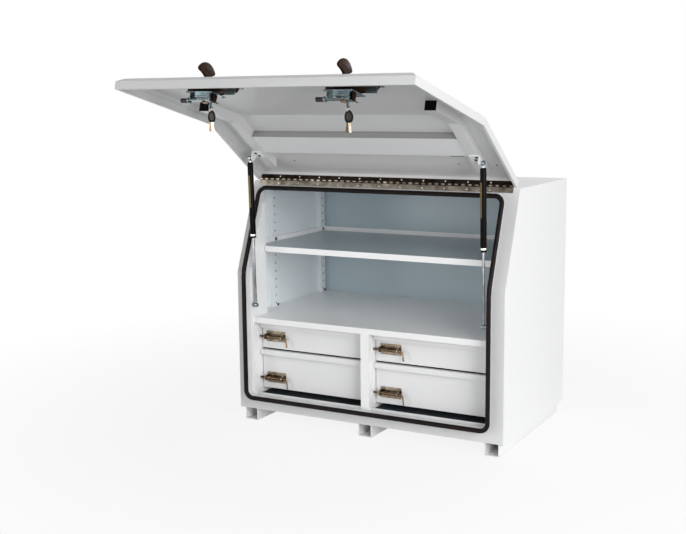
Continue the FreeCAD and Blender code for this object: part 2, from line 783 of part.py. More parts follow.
def make_door():
    """Door pan with the cut-outs for its latches, its rails, crossbar and end caps."""
    top = -hinge_rise - knuckle_radius - clear - sheet
    pan = door_block(0, door_gap, top).cut([door_block(sheet, door_gap + sheet, top + sheet),
                                            door_block(return_lip, -overrun, top + sheet)])
    holes = [dish_block(x, z, dish_flange, (skin_inside - overrun, skin_offset + overrun))
             for _, x, z in latch_places()]
    edge = [slope_at(top - overrun, -overrun), slope_at(top + sheet, -overrun),
            slope_at(top + sheet, knuckle_radius), slope_at(top - overrun, knuckle_radius)]
    save("door_skin", opened(pan.cut(holes + [prism_x(edge, (-half_width, half_width))])))

    outer, low = half_width - door_rail_side, floor_z + door_rail_rise
    inner, back = outer - door_rail_width, skin_inside - door_rail_depth
    high = slope_at(door_rail_top, back)[1]
    rail = front_slab(back, skin_inside, low, high, (inner, outer))
    groove = front_slab(back + door_rail_wall, skin_inside + overrun, low - overrun, high + overrun,
                        (inner + door_rail_wall, outer - door_rail_wall))
    save("door_side_rails", *both(opened(rail.cut(groove))))

    plug_ys = (front_y - skin_inside, front_y - back - door_rail_wall)
    cap = fuse(box((inner, outer), (front_y - skin_inside, front_y - back), (low - cap_plate, low)),
               box((inner + door_rail_wall, outer - door_rail_wall), plug_ys, (low, low + cap_plug)))
    save("rail_end_caps", *both(opened(cap)))

    face, wall = skin_inside - crossbar_depth, door_rail_wall
    bar = prism_x([slope_at(crossbar_top, skin_inside), slope_at(crossbar_bottom, skin_inside),
                   slope_at(crossbar_bottom, face), slope_at(crossbar_top, face)], (-inner, inner))
    cavity = prism_x([slope_at(crossbar_top + wall, skin_inside + overrun),
                      slope_at(crossbar_bottom - wall, skin_inside + overrun),
                      slope_at(crossbar_bottom - wall, face + wall),
                      slope_at(crossbar_top + wall, face + wall)], (-inner - overrun, inner + overrun))
    save("door_crossbar", opened(bar.cut(cavity)))


def make_latch_cases():
    """Latch dishes let into the door, and the zinc housings behind them with an ear for the keys."""
    dishes, housings = [], []
    tub = skin_offset - dish_depth
    for _, x, z in latch_places():
        bore = rod(Vector(x, front_y - skin_offset, z), Vector(x, front_y + housing_depth + overrun, z),
                   shaft_radius + shaft_fit)
        rim = dish_block(x, z, 0, (skin_offset, skin_offset + dish_rim))
        bowl = dish_block(x, z, dish_flange + clear, (tub, skin_offset + dish_rim))
        hollow = dish_block(x, z, dish_flange + clear + dish_wall,
                            (tub + dish_wall, skin_offset + dish_rim + overrun))
        dishes.append(opened(fuse(rim, bowl).cut([hollow, bore])))

        plate = tub - dish_wall
        face = plate - housing_depth
        half_w, half_h = housing_plate_width / 2, housing_plate_height / 2
        block_w, block_h = housing_width / 2, housing_height / 2
        ear_x, pin_z, pin_y = x + key_shift - key_ear, z + key_lift, front_y - tub + key_stand
        ear = box((ear_x, x + key_shift), (front_y - plate, pin_y + key_ear + key_pin_radius),
                  (pin_z - key_ear_height / 2, pin_z + key_ear_height / 2))
        pin = rod(Vector(ear_x, pin_y, pin_z), Vector(x + key_shift + key_pin_length, pin_y, pin_z),
                  key_pin_radius)
        base = box((x - half_w, x + half_w), (front_y - tub, front_y - plate), (z - half_h, z + half_h))
        block = box((x - block_w, x + block_w), (front_y - plate, front_y - face), (z - block_h, z + block_h))
        housings.append(opened(fuse(base, block, ear, pin).cut(bore)))
    save("latch_dishes", *dishes)
    save("latch_housings", *housings)


def tail_outline():
    """Outline of a latch paddle, as (across, along) from its pivot: a stem that spreads into a fan."""
    stem, half = paddle_stem / 2, paddle_width / 2
    neck_share, tip_share, flank_share = 0.28, 0.68, 0.62
    neck, tip = paddle_length * neck_share, paddle_length * tip_share
    flank = (stem + (half - stem) * (1 - flank_share), neck + (tip - neck) * flank_share)
    return stem, neck, flank, (half, tip), (0, paddle_length)


def paddle_solid(x, z, pivot_y):
    """Raised latch paddle with its forked foot, before it is tilted."""
    stem, neck, flank, tip, crown = tail_outline()

    def at(across, along):
        return Vector(x - paddle / 2, pivot_y - along, z + across)

    foot = paddle_stem / 2
    edges = [Part.LineSegment(at(stem, 0), at(stem, neck)), Part.Arc(at(stem, neck), at(*flank), at(*tip)),
             Part.Arc(at(*tip), at(*crown), at(-tip[0], tip[1])),
             Part.Arc(at(-tip[0], tip[1]), at(-flank[0], flank[1]), at(-stem, neck)),
             Part.LineSegment(at(-stem, neck), at(-stem, 0)), Part.LineSegment(at(-stem, 0), at(stem, 0))]
    outline = Part.Wire([edge.toShape() for edge in edges])
    blade = Part.Face(outline).extrude(X_AXIS * paddle)
    hub = rod(Vector(x, pivot_y, z - foot), Vector(x, pivot_y, z + foot), paddle / 2)
    slot_half = clevis_width / 2 + clear
    slot = box((x - paddle, x + paddle), (pivot_y + paddle, pivot_y - fork_depth),
               (z - slot_half, z + slot_half))
    bore = rod(Vector(x, pivot_y, z - paddle_stem), Vector(x, pivot_y, z + paddle_stem),
               paddle_pin_radius + paddle_pin_fit)
    return fuse(blade, hub).cut([slot, bore])


def make_latch_movers():
    """Latch shafts with their pawls, the sleeves on the pawls, and the paddles."""
    tub = skin_offset - dish_depth
    floor = tub + dish_wall
    pivot_y = front_y - skin_offset + paddle_pivot_sink
    for name, x, z in latch_places():
        pawl_y = front_y + pawl_stand
        tail_y = pawl_y + pawl + nut_height
        spacer_y = front_y - tub + dish_wall + housing_depth + clear
        head_half, head_deep = clevis_width / 2, clevis_depth / 2
        tongue_y = pawl_y + pawl / 2
        arm_end = pawl_reach - sleeve_length
        pieces = [rod(Vector(x, front_y - floor - clear, z), Vector(x, tail_y, z), shaft_radius),
                  box((x - head_deep, x + head_deep), (front_y - floor - clear, pivot_y - clevis_over),
                      (z - head_half, z + head_half)),
                  rod(Vector(x, pivot_y, z - paddle_stem / 2), Vector(x, pivot_y, z + paddle_stem / 2),
                      paddle_pin_radius),
                  rod(Vector(x, spacer_y, z), Vector(x, pawl_y, z), spacer_radius),
                  box((x - arm_end, x), (pawl_y, pawl_y + pawl), (z - pawl_width / 2, z + pawl_width / 2)),
                  rod(Vector(x, pawl_y, z), Vector(x, pawl_y + pawl, z), pawl_width / 2),
                  rod(Vector(x, pawl_y + pawl, z), Vector(x, tail_y, z), nut_radius)]
        tip, root = Vector(x - pawl_reach, tongue_y, z), Vector(x - arm_end, tongue_y, z)
        tongue = rod(tip, root + X_AXIS * pawl, tongue_radius)
        save(f"latch_pawl_{name}", opened(fuse(*pieces, tongue)))
        sleeve = rod(tip, root, sleeve_radius)
        bore = rod(tip - X_AXIS * overrun, root + X_AXIS * overrun, tongue_radius + sleeve_fit)
        save(f"pawl_sleeve_{name}", opened(sleeve.cut(bore)))
        raised = paddle_solid(x, z, pivot_y).rotated(Vector(x, pivot_y, z), Z_AXIS, 90 - paddle_tilt)
        save(f"latch_paddle_{name}", opened(raised))


def make_keys():
    """A ring with two keys on each latch housing, hanging straight down while the door is open."""
    tub = skin_offset - dish_depth
    hang = ring_radius - ring_wire / 2 - key_pin_radius - clear / 2
    for name, x, z in latch_places():
        pin = opened_point(x + key_shift + key_pin_length / 2, front_y - tub + key_stand, z + key_lift)
        middle = pin - Z_AXIS * hang
        ring = Part.makeTorus(ring_radius, ring_wire / 2, middle, X_AXIS)
        hole_z = middle.z - ring_radius
        keys = []
        for side in (-1, 1):
            y = middle.y + side * key_spread - key_thickness / 2
            eye = Vector(middle.x, y, hole_z)
            centre = eye + Z_AXIS * (key_hole_inset - key_head_height / 2)
            oval = Part.Ellipse(centre, key_head_height / 2, key_head_width / 2).toShape()
            oval.rotate(centre, X_AXIS, 90)
            oval.rotate(centre, Y_AXIS, 90)
            head = Part.Face(Part.Wire(oval)).extrude(Y_AXIS * key_thickness)
            half = key_blade_width / 2
            blade = box((middle.x - half, middle.x + half), (y, y + key_thickness),
                        (centre.z - key_head_height / 2 - key_blade_length, centre.z))
            hole = rod(eye - Y_AXIS * overrun, eye + Y_AXIS * (key_thickness + overrun), key_hole_radius)
            keys.append(fuse(head, blade).cut(hole).rotated(eye, Y_AXIS, side * key_fan))
        save(f"key_set_{name}", ring, *keys)


def strut_line():
    """Lower pivot, upper pivot with the door open, and the length between them open and closed."""
    low = Vector(strut_x, stud_y, stud_z)
    closed = Vector(strut_x, *slope_at(strut_door_down, -strut_door_sink))
    high = opened_point(closed.x, closed.y, closed.z)
    return low, high, (high - low).Length, (closed - low).Length


def along_strut(shape):
    """A strut piece drawn up +Z from the lower pivot, laid along the strut with the door open."""
    low, high, _, _ = strut_line()
    way = high - low
    lean = math.degrees(math.atan2(-way.y, way.z))
    return shape.rotated(Vector(0, 0, 0), X_AXIS, lean).translated(low)


def upright_rod(start, end, radius):
    """Round bar on the strut's own axis between two heights."""
    return rod(Z_AXIS * start, Z_AXIS * end, radius)


def cross_rod(height, start, end, radius):
    """Round bar across the strut at a height, between two places along X."""
    return rod(Vector(start, 0, height), Vector(end, 0, height), radius)


def make_struts():
    """Gas struts: rods on studs in the jambs, barrels, and the brackets that carry them on the door."""
    _, _, long, short = strut_line()
    half_eye = eye_width / 2
    top = long - eye_reach
    bottom = top - (short - 2 * eye_reach - barrel_room)
    rod_end = short - eye_reach - barrel_end - piston_room - piston
    eye = cross_rod(0, -half_eye, half_eye, eye_radius)
    hole = cross_rod(0, -half_eye - overrun, half_eye + overrun, stud_radius + eye_fit)
    bore = barrel_radius - barrel_wall
    rod_solid = fuse(eye, upright_rod(0, eye_reach, neck_radius),
                     upright_rod(eye_reach, rod_end, strut_rod_radius),
                     upright_rod(rod_end, rod_end + piston, bore - piston_fit)).cut(hole)
    tube = upright_rod(bottom, top, barrel_radius)
    way = upright_rod(bottom - overrun, bottom + gland + overrun, strut_rod_radius + strut_rod_fit)
    tube = tube.cut([upright_rod(bottom + gland, top - barrel_end, bore), way])
    upper_eye = cross_rod(long, -half_eye, half_eye, eye_radius)
    cap = cross_rod(long, half_eye, half_eye + stud_head, stud_head_radius)
    barrel = fuse(tube, upright_rod(top, long, neck_radius), upper_eye, cap)
    for name, place in (("right", lambda shape: shape), ("left", mirrored)):
        save(f"strut_rod_{name}", place(along_strut(rod_solid)))
        save(f"strut_barrel_{name}", place(along_strut(barrel)))
    print(f"strut: {long:.1f} mm open, {short:.1f} mm closed")

    inside = strut_x - half_eye - clear
    base = Vector(liner_x, stud_y, stud_z)
    neck = Vector(strut_x + half_eye + clear, stud_y, stud_z)
    end = Vector(inside, stud_y, stud_z)
    stud = fuse(rod(neck, base, stud_base_radius), rod(end, base, stud_radius),
                rod(end - X_AXIS * stud_head, end, stud_head_radius))
    save("strut_lower_studs", *both(stud))

    back = skin_inside - door_rail_depth
    plate_x = strut_x - barrel_radius - clear - bracket
    down, depth = strut_door_down, -strut_door_sink
    pivot_y, pivot_z = slope_at(down, depth)
    high_end, low_end = down - bracket_half, down + bracket_half
    foot = prism_x([slope_at(high_end, back), slope_at(low_end, back), slope_at(low_end, back - bracket),
                    slope_at(high_end, back - bracket)], (plate_x + bracket - bracket_foot, plate_x + bracket))
    web = prism_x([slope_at(high_end, back), slope_at(low_end, back),
                   slope_at(down + bracket_over, depth - bracket_over),
                   slope_at(down - bracket_over, depth - bracket_over)], (plate_x, plate_x + bracket))
    pin = rod(Vector(plate_x, pivot_y, pivot_z), Vector(inside, pivot_y, pivot_z), stud_radius)
    save("strut_upper_brackets", *both(opened(fuse(foot, web, pin))))


make_panels()
make_front_frame()
make_side_liners()
make_drawer_carcass()
make_drawers()
make_shelf()
make_skids()
make_hinge()
make_door()
make_latch_cases()
make_latch_movers()
make_keys()
make_struts()
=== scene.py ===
"""Dresses the jobsite storage box: its powder coat, seal, hinge, struts, latches, keys and drawer bolts.

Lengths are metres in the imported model's frame: +Z up, +X to the right, the door on the -Y side, stored open.
"""
import json
import logging
import math
from collections.abc import Iterable, Sequence
from dataclasses import dataclass, field
from enum import Enum

import bmesh
import bpy
from mathutils import Matrix, Vector


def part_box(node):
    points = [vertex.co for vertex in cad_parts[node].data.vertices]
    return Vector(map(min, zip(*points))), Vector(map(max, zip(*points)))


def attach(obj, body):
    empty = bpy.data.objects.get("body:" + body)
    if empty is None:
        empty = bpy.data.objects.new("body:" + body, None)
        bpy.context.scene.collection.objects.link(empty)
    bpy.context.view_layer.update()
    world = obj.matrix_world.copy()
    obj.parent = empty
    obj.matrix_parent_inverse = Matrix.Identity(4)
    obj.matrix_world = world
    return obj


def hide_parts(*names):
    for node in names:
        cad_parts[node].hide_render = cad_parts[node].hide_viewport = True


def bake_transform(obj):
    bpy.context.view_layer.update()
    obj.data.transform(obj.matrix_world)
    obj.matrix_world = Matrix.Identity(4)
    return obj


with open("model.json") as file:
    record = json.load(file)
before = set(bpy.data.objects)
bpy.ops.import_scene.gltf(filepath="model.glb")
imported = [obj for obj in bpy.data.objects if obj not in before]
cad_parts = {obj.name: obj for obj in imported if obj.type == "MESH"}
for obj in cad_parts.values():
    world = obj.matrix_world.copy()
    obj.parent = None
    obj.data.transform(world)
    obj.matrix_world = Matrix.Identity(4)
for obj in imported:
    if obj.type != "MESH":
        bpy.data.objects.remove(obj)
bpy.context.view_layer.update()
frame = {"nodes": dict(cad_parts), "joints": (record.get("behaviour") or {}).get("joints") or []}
LOG = logging.getLogger("storage_box")
JOINTS = {joint["name"]: joint for joint in frame["joints"]}
MM = 0.001
X_AXIS, Y_AXIS, Z_AXIS = Vector((1, 0, 0)), Vector((0, 1, 0)), Vector((0, 0, 1))
SIDES = ("left", "right")

Pair = tuple[float, float]
Triple = tuple[float, float, float]
Colour = Triple
Rows = tuple[tuple[float, ...], ...]
Socket = bpy.types.NodeSocket


def millimetres(*rows: Sequence[float]) -> Rows:
    """Rows of sizes in millimetres, turned into metres."""
    return tuple(tuple(size * MM for size in row) for row in rows)


class ShaderGraph:
    """Adds and links the nodes of a material or of the world."""

    def __init__(self, owner: bpy.types.Material | bpy.types.World) -> None:
        """Starts from an empty node tree.

        Args:
            owner: the material or world that the nodes are for.
        """
        owner.use_nodes = True
        self.owner, self.tree = owner, owner.node_tree
        self.tree.nodes.clear()

    @property
    def place(self) -> Socket:
        """The place on a piece, in its own frame."""
        return self.add("ShaderNodeTexCoord").outputs["Object"]

    @property
    def facing(self) -> Socket:
        """The way a surface faces, in its piece's own frame."""
        return self.add("ShaderNodeTexCoord").outputs["Normal"]

    def add(self, kind: str, inputs: dict | None = None, **settings: object) -> bpy.types.Node:
        """Adds a node.

        Args:
            kind: the node's type name.
            inputs: values, or sockets to link, by input name or number.
            settings: properties to set on it.

        Returns:
            The new node.
        """
        node = self.tree.nodes.new(kind)
        for key, value in settings.items():
            setattr(node, key, value)
        for key, value in (inputs or {}).items():
            if isinstance(value, Socket):
                self.tree.links.new(value, node.inputs[key])
            else:
                node.inputs[key].default_value = value
        return node

    def noise(self, scale: float, detail: float = 2.0, stretch: Sequence[float] = (1, 1, 1)) -> Socket:
        """Adds soft noise.

        Args:
            scale: spots per metre.
            detail: how much finer noise is laid over it.
            stretch: change of the scale along each axis.

        Returns:
            Its value from 0 to 1.
        """
        place = self.add("ShaderNodeMapping", {"Vector": self.place, "Scale": stretch}).outputs["Vector"]
        noise = self.add("ShaderNodeTexNoise", {"Vector": place, "Scale": scale, "Detail": detail})
        return noise.outputs["Fac"]

    def flakes(self, scale: float) -> Socket:
        """A value for each cell of a cell pattern, at a number of cells per metre."""
        cells = self.add("ShaderNodeTexVoronoi", {"Vector": self.place, "Scale": scale}).outputs["Color"]
        return self.add("ShaderNodeSeparateColor", {"Color": cells}).outputs["Red"]

    def spread(self, value: Socket, low: float, high: float, start: float = 0.3, end: float = 0.7) -> Socket:
        """Maps a value between start and end to a range."""
        limits = {"Value": value, "From Min": start, "From Max": end, "To Min": low, "To Max": high}
        return self.add("ShaderNodeMapRange", limits).outputs["Result"]

    def mix(self, share: Socket | float, first: Socket | Colour, second: Socket | Colour) -> Socket:
        """Mixes two colours by a share."""
        ends = [colour if isinstance(colour, Socket) else (*colour, 1.0) for colour in (first, second)]
        return self.add("ShaderNodeMix", {0: share, 6: ends[0], 7: ends[1]}, data_type="RGBA").outputs[2]

    def creases(self, reach: float) -> Socket:
        """How open a place is: low in creases and corners, 1 in the open."""
        return self.add("ShaderNodeAmbientOcclusion", {"Distance": reach}, samples=6).outputs["AO"]

    def bump(self, height: Socket, depth: float) -> Socket:
        """Small relief of a depth in metres."""
        relief = {"Height": height, "Distance": depth, "Strength": 1.0}
        return self.add("ShaderNodeBump", relief).outputs["Normal"]

    def larger(self, first: Socket, second: Socket) -> Socket:
        """The larger of two values."""
        return self.add("ShaderNodeMath", {0: first, 1: second}, operation="MAXIMUM").outputs[0]

    def seen(self) -> Socket:
        """Tells what is seen from other light.

        Returns:
            1 for what is seen straight, in gloss or through a clear surface, and 0 for all else.
        """
        path = self.add("ShaderNodeLightPath").outputs
        straight = self.larger(path["Is Camera Ray"], path["Is Glossy Ray"])
        return self.larger(straight, path["Is Transmission Ray"])

    def close(self, inputs: dict) -> bpy.types.Material:
        """Ends the material in one surface shader.

        Args:
            inputs: values or sockets for the surface shader, by name.

        Returns:
            The finished material.
        """
        shader = self.add("ShaderNodeBsdfPrincipled", inputs)
        self.add("ShaderNodeOutputMaterial", {"Surface": shader.outputs["BSDF"]})
        return self.owner


@dataclass(frozen=True)
class PowderCoat:
    """Sprayed and baked coat: an even colour with orange peel and faint handling marks, with painted shade in
    creases and, where asked, on faces turned one way or upwards.
    """

    colour: Colour = (0.86, 0.86, 0.86)
    shade: Colour = (0.84, 0.84, 0.845)
    # Painted shade: faces turned the given way take the inner colour in place of the coat's own.
    inner: Colour | None = None
    shaded_facing: Triple = (0.0, -1.0, 0.0)
    # Painted shade: how much faces turned up are darkened towards a blue-grey.
    top_shade: float = 0.0
    top_shade_colour: Colour = (0.30, 0.38, 0.42)
    # Painted shade: how much creases and corners are darkened, how far that reaches, and the colour they are
    # darkened towards.
    crease_shade_depth: float = 0.22
    reach: float = 0.012
    crease_shade: Colour = (0.30, 0.30, 0.29)
    gloss: Pair = (0.27, 0.33)
    soft: Pair = (0.1, 0.9)
    shaded_side_edge: Pair = (0.2, 0.8)
    top_shade_edge: Pair = (0.6, 0.95)
    crease_shade_edge: Pair = (0.15, 0.75)
    clouds: float = 1.6
    rubs: float = 3.0
    peel: float = 420.0
    peel_depth: float = 0.00004

    def build(self, graph: ShaderGraph) -> bpy.types.Material:
        """Builds the material.

        Args:
            graph: the empty material's nodes.

        Returns:
            The finished material.
        """
        clouds = graph.spread(graph.noise(self.clouds), 0.0, 1.0, *self.soft)
        colour = graph.mix(clouds, self.colour, self.shade)
        # Painted shade on the faces that turn the given way.
        if self.inner:
            ways = {0: graph.facing, 1: self.shaded_facing}
            inwards = graph.add("ShaderNodeVectorMath", ways, operation="DOT_PRODUCT").outputs["Value"]
            colour = graph.mix(graph.spread(inwards, 0.0, 1.0, *self.shaded_side_edge), colour, self.inner)
        # Painted shade: faces turned up are darkened towards a blue-grey.
        if self.top_shade:
            level = graph.add("ShaderNodeSeparateXYZ", {"Vector": graph.facing}).outputs["Z"]
            colour = graph.mix(graph.spread(level, 0.0, self.top_shade, *self.top_shade_edge), colour, self.top_shade_colour)
        # Painted shade: darker towards the given colour in creases and corners.
        crease_shade = graph.spread(graph.creases(self.reach), self.crease_shade_depth, 0.0, *self.crease_shade_edge)
        rough = graph.spread(graph.noise(self.rubs), *self.gloss, *self.soft)
        return graph.close({"Base Color": graph.mix(crease_shade, colour, self.crease_shade), "Roughness": rough, "IOR": 1.5,
                            "Normal": graph.bump(graph.noise(self.peel, 1.0), self.peel_depth)})


@dataclass(frozen=True)
class Moulding:
    """Moulded plastic or a satin dark coat: fine grain, soft gloss and paler worn spots."""

    colour: Colour
    worn: Colour
    roughness: Pair
    shine: float = 0.3
    spots: Pair = (60.0, 5.0)
    spot_range: tuple[float, float, float, float] = (0.0, 0.6, 0.5, 0.85)
    grain: Pair = (1400.0, 1.0)
    grain_depth: float = 0.00005
    gloss: float = 25.0

    def build(self, graph: ShaderGraph) -> bpy.types.Material:
        """Builds the material.

        Args:
            graph: the empty material's nodes.

        Returns:
            The finished material.
        """
        worn = graph.spread(graph.noise(*self.spots), *self.spot_range)
        return graph.close({"Base Color": graph.mix(worn, self.colour, self.worn),
                            "Roughness": graph.spread(graph.noise(self.gloss, 3.0), *self.roughness),
                            "Normal": graph.bump(graph.noise(*self.grain), self.grain_depth),
                            "Specular IOR Level": self.shine})


@dataclass(frozen=True)
class Rubber(Moulding):
    """Moulded rubber: dark and matt, with a fine skin and dusty high spots."""

    roughness: Pair = (0.42, 0.62)
    spots: Pair = (14.0, 6.0)
    spot_range: tuple[float, float, float, float] = (0.0, 0.55, 0.45, 0.8)
    grain: Pair = (900.0, 2.0)
    grain_depth: float = 0.00012
    gloss: float = 40.0


@dataclass(frozen=True)
class BareMetal:
    """Rolled, plated or polished metal with draw lines along X, a change of tint over its surface and painted
    shade in its creases.
    """

    colour: Colour
    tint: Colour
    roughness: Pair
    # Painted shade: how much creases are darkened, the colour they are darkened towards, and how far that
    # reaches.
    hollow_shade_depth: float = 0.25
    hollow_shade: Colour = (0.05, 0.045, 0.04)
    reach: float = 0.006
    hollow_shade_edge: Pair = (0.2, 0.8)
    spangle: float = 0.0
    flakes: float = 420.0
    flake_colour: Colour = (0.30, 0.36, 0.40)
    patches: float = 38.0
    lines: float = 300.0
    line_stretch: Triple = (0.06, 1.0, 1.0)
    line_depth: float = 0.00002

    def build(self, graph: ShaderGraph) -> bpy.types.Material:
        """Builds the material.

        Args:
            graph: the empty material's nodes.

        Returns:
            The finished material.
        """
        colour = graph.mix(graph.spread(graph.noise(self.patches, 3.0), 0.0, 1.0), self.colour, self.tint)
        if self.spangle:
            flakes = graph.spread(graph.flakes(self.flakes), 0.0, self.spangle, 0.0, 1.0)
            colour = graph.mix(flakes, colour, self.flake_colour)
        # Painted shade: darker towards the given colour in creases.
        shadow = graph.spread(graph.creases(self.reach), self.hollow_shade_depth, 0.0, *self.hollow_shade_edge)
        grain = graph.noise(self.lines, 2.0, self.line_stretch)
        return graph.close({"Base Color": graph.mix(shadow, colour, self.hollow_shade), "Metallic": 1.0,
                            "Roughness": graph.spread(grain, *self.roughness),
                            "Normal": graph.bump(grain, self.line_depth)})


class Finish(Enum):
    """The finishes of the box, each with the record's slot that it follows."""

    WHITE = ("white_coat", PowderCoat())
    # Painted shade: a darker copy of the white coat for the front frame and the door.
    FRONT = ("white_coat", PowderCoat((0.72, 0.72, 0.72), (0.705, 0.705, 0.71)))
    # Painted light: a lighter copy of the white coat for the parts that catch more light.
    BRIGHT = ("white_coat", PowderCoat((0.95, 0.95, 0.95), (0.94, 0.94, 0.94)))
    # Painted light and shade: a lighter copy of the white coat for the shelf, darkened on its upward faces.
    SHELF = ("white_coat", PowderCoat((0.95, 0.95, 0.95), (0.94, 0.94, 0.94), top_shade=0.75))
    # Painted shade: the back panel's inside face takes a darker blue-grey.
    BACK = ("white_coat", PowderCoat(inner=(0.50, 0.60, 0.65)))
    # Painted shade: each side panel's inside face takes a light blue-grey.
    LEFT = ("white_coat", PowderCoat(inner=(0.82, 0.87, 0.90), shaded_facing=(1.0, 0.0, 0.0)))
    RIGHT = ("white_coat", PowderCoat(inner=(0.82, 0.87, 0.90), shaded_facing=(-1.0, 0.0, 0.0)))
    # Painted shade: a blue-grey copy of the white coat for the uprights deep inside the box.
    INNER = ("white_coat", PowderCoat((0.84, 0.88, 0.90), (0.82, 0.86, 0.88)))
    # Painted shade: the crossbar's faces that turn the given way are darkened, and its creases strongly so.
    BRACE = ("white_coat", PowderCoat(inner=(0.30, 0.30, 0.295), shaded_facing=(0.0, -0.815, 0.580), crease_shade_depth=0.6,
                                      reach=0.02, crease_shade=(0.12, 0.12, 0.115)))
    SEAL = ("black_rubber", Rubber((0.006, 0.0035, 0.003), (0.016, 0.010, 0.008), (0.4, 0.55), 0.12))
    MAT = ("black_rubber", Rubber((0.026, 0.034, 0.040), (0.06, 0.07, 0.078)))
    SLEEVE = ("black_rubber", Rubber((0.016, 0.010, 0.008), (0.04, 0.026, 0.02), (0.3, 0.45)))
    # Painted shade: the door's hinge leaf is a near-black copy of the stainless.
    DARK_LEAF = ("stainless", BareMetal((0.050, 0.034, 0.024), (0.014, 0.009, 0.007), (0.16, 0.3), 0.8))
    LEAF = ("stainless", BareMetal((0.52, 0.47, 0.40), (0.17, 0.135, 0.10), (0.14, 0.3), 0.8))
    RIVET = ("stainless", BareMetal((0.88, 0.86, 0.82), (0.70, 0.67, 0.62), (0.12, 0.24), 0.3))
    ZINC = ("zinc_plate", BareMetal((0.33, 0.39, 0.40), (0.13, 0.18, 0.19), (0.2, 0.36), 0.9, spangle=0.35))
    GOLD = ("yellow_zinc", BareMetal((0.30, 0.21, 0.125), (0.085, 0.052, 0.03), (0.16, 0.34), 0.94))
    PLATE = ("yellow_zinc", BareMetal((0.44, 0.37, 0.28), (0.13, 0.092, 0.06), (0.18, 0.34), 0.94))
    BLACK = ("black_coat", Moulding((0.022, 0.009, 0.005), (0.075, 0.030, 0.015), (0.26, 0.42), 0.03))
    BARREL = ("black_coat", Moulding((0.003, 0.002, 0.0016), (0.006, 0.004, 0.003), (0.22, 0.34), 0.05))
    BAND = ("black_coat", Moulding((0.17, 0.13, 0.03), (0.22, 0.17, 0.05), (0.32, 0.45)))
    PLASTIC = ("black_plastic", Moulding((0.002, 0.002, 0.002), (0.005, 0.005, 0.005), (0.32, 0.5), 0.04,
                                         grain_depth=0.0001))
    HEAD = ("black_plastic", Moulding((0.005, 0.0035, 0.0035), (0.014, 0.010, 0.009), (0.22, 0.34), 0.08))
    # Painted highlight: the key head's inset is a paler copy of the black plastic.
    INSET = ("black_plastic", Moulding((0.034, 0.024, 0.021), (0.055, 0.040, 0.036), (0.22, 0.36), 0.2))
    CHROME = ("chrome_rod", BareMetal((0.32, 0.33, 0.35), (0.17, 0.18, 0.20), (0.06, 0.14), 0.5))
    BRASS = ("key_metal", BareMetal((0.20, 0.13, 0.07), (0.06, 0.035, 0.02), (0.16, 0.3), 0.9))
    STEEL = ("key_metal", BareMetal((0.74, 0.68, 0.58), (0.40, 0.31, 0.22), (0.16, 0.28), 0.7))

    @property
    def slot(self) -> str:
        """The record's material slot."""
        return self.value[0]

    @property
    def material(self) -> bpy.types.Material:
        """The finish's material, built the first time it is asked for."""
        name, made = self.name.lower(), bpy.data.materials
        return made.get(name) or self.value[1].build(ShaderGraph(made.new(name)))


def circle(side: Vector, front: Vector, count: int) -> list[Vector]:
    """Arms of a circle or an oval, from side round past front."""
    return [side * math.cos(turn) + front * math.sin(turn)
            for turn in (math.tau * step / count for step in range(count))]


def arc(middle: Vector, first: Vector, second: Vector, start: float, end: float, count: int) -> list[Vector]:
    """Points of an arc about a middle, from first towards second, angles in degrees."""
    turns = [math.radians(start + (end - start) * step / count) for step in range(count + 1)]
    return [middle + first * math.cos(turn) + second * math.sin(turn) for turn in turns]


def rounded_outline(half_x: float, half_y: float, radius: float, count: int = 6) -> list[Pair]:
    """Rectangle about zero with rounded corners.

    Args:
        half_x: half its size along x.
        half_y: half its size along y.
        radius: radius of the corners.
        count: steps round a corner.

    Returns:
        Its (x, y) points.
    """
    points = []
    for corner, (sx, sy) in enumerate(((1, 1), (-1, 1), (-1, -1), (1, -1))):
        for step in range(count + 1):
            turn = math.radians(90 * corner + 90 * step / count)
            points.append((sx * (half_x - radius) + radius * math.cos(turn),
                           sy * (half_y - radius) + radius * math.sin(turn)))
    return points


def round_edges(piece: bpy.types.Object, width: float, steps: int = 2, over: float = 32.0) -> None:
    """Rounds the sharp edges of an object.

    Args:
        piece: the object.
        width: width of the rounding in metres.
        steps: segments across it.
        over: edges sharper than this angle are rounded.
    """
    bevel = piece.modifiers.new("edges", "BEVEL")
    bevel.width = width
    bevel.segments = steps
    bevel.limit_method = "ANGLE"
    bevel.angle_limit = math.radians(over)
    bevel.harden_normals = True
    bevel.use_clamp_overlap = True


def coat(name: str, finish: Finish, edge: float = 0.0) -> None:
    """Gives a CAD node a finish.

    Args:
        name: the node's name.
        finish: its finish.
        edge: width of its rounded edges, or zero to leave them.
    """
    node = frame["nodes"][name]
    node.data.materials.clear()
    node.data.materials.append(finish.material)
    if edge:
        round_edges(node, edge)
    LOG.info("%s keeps its solid", name)


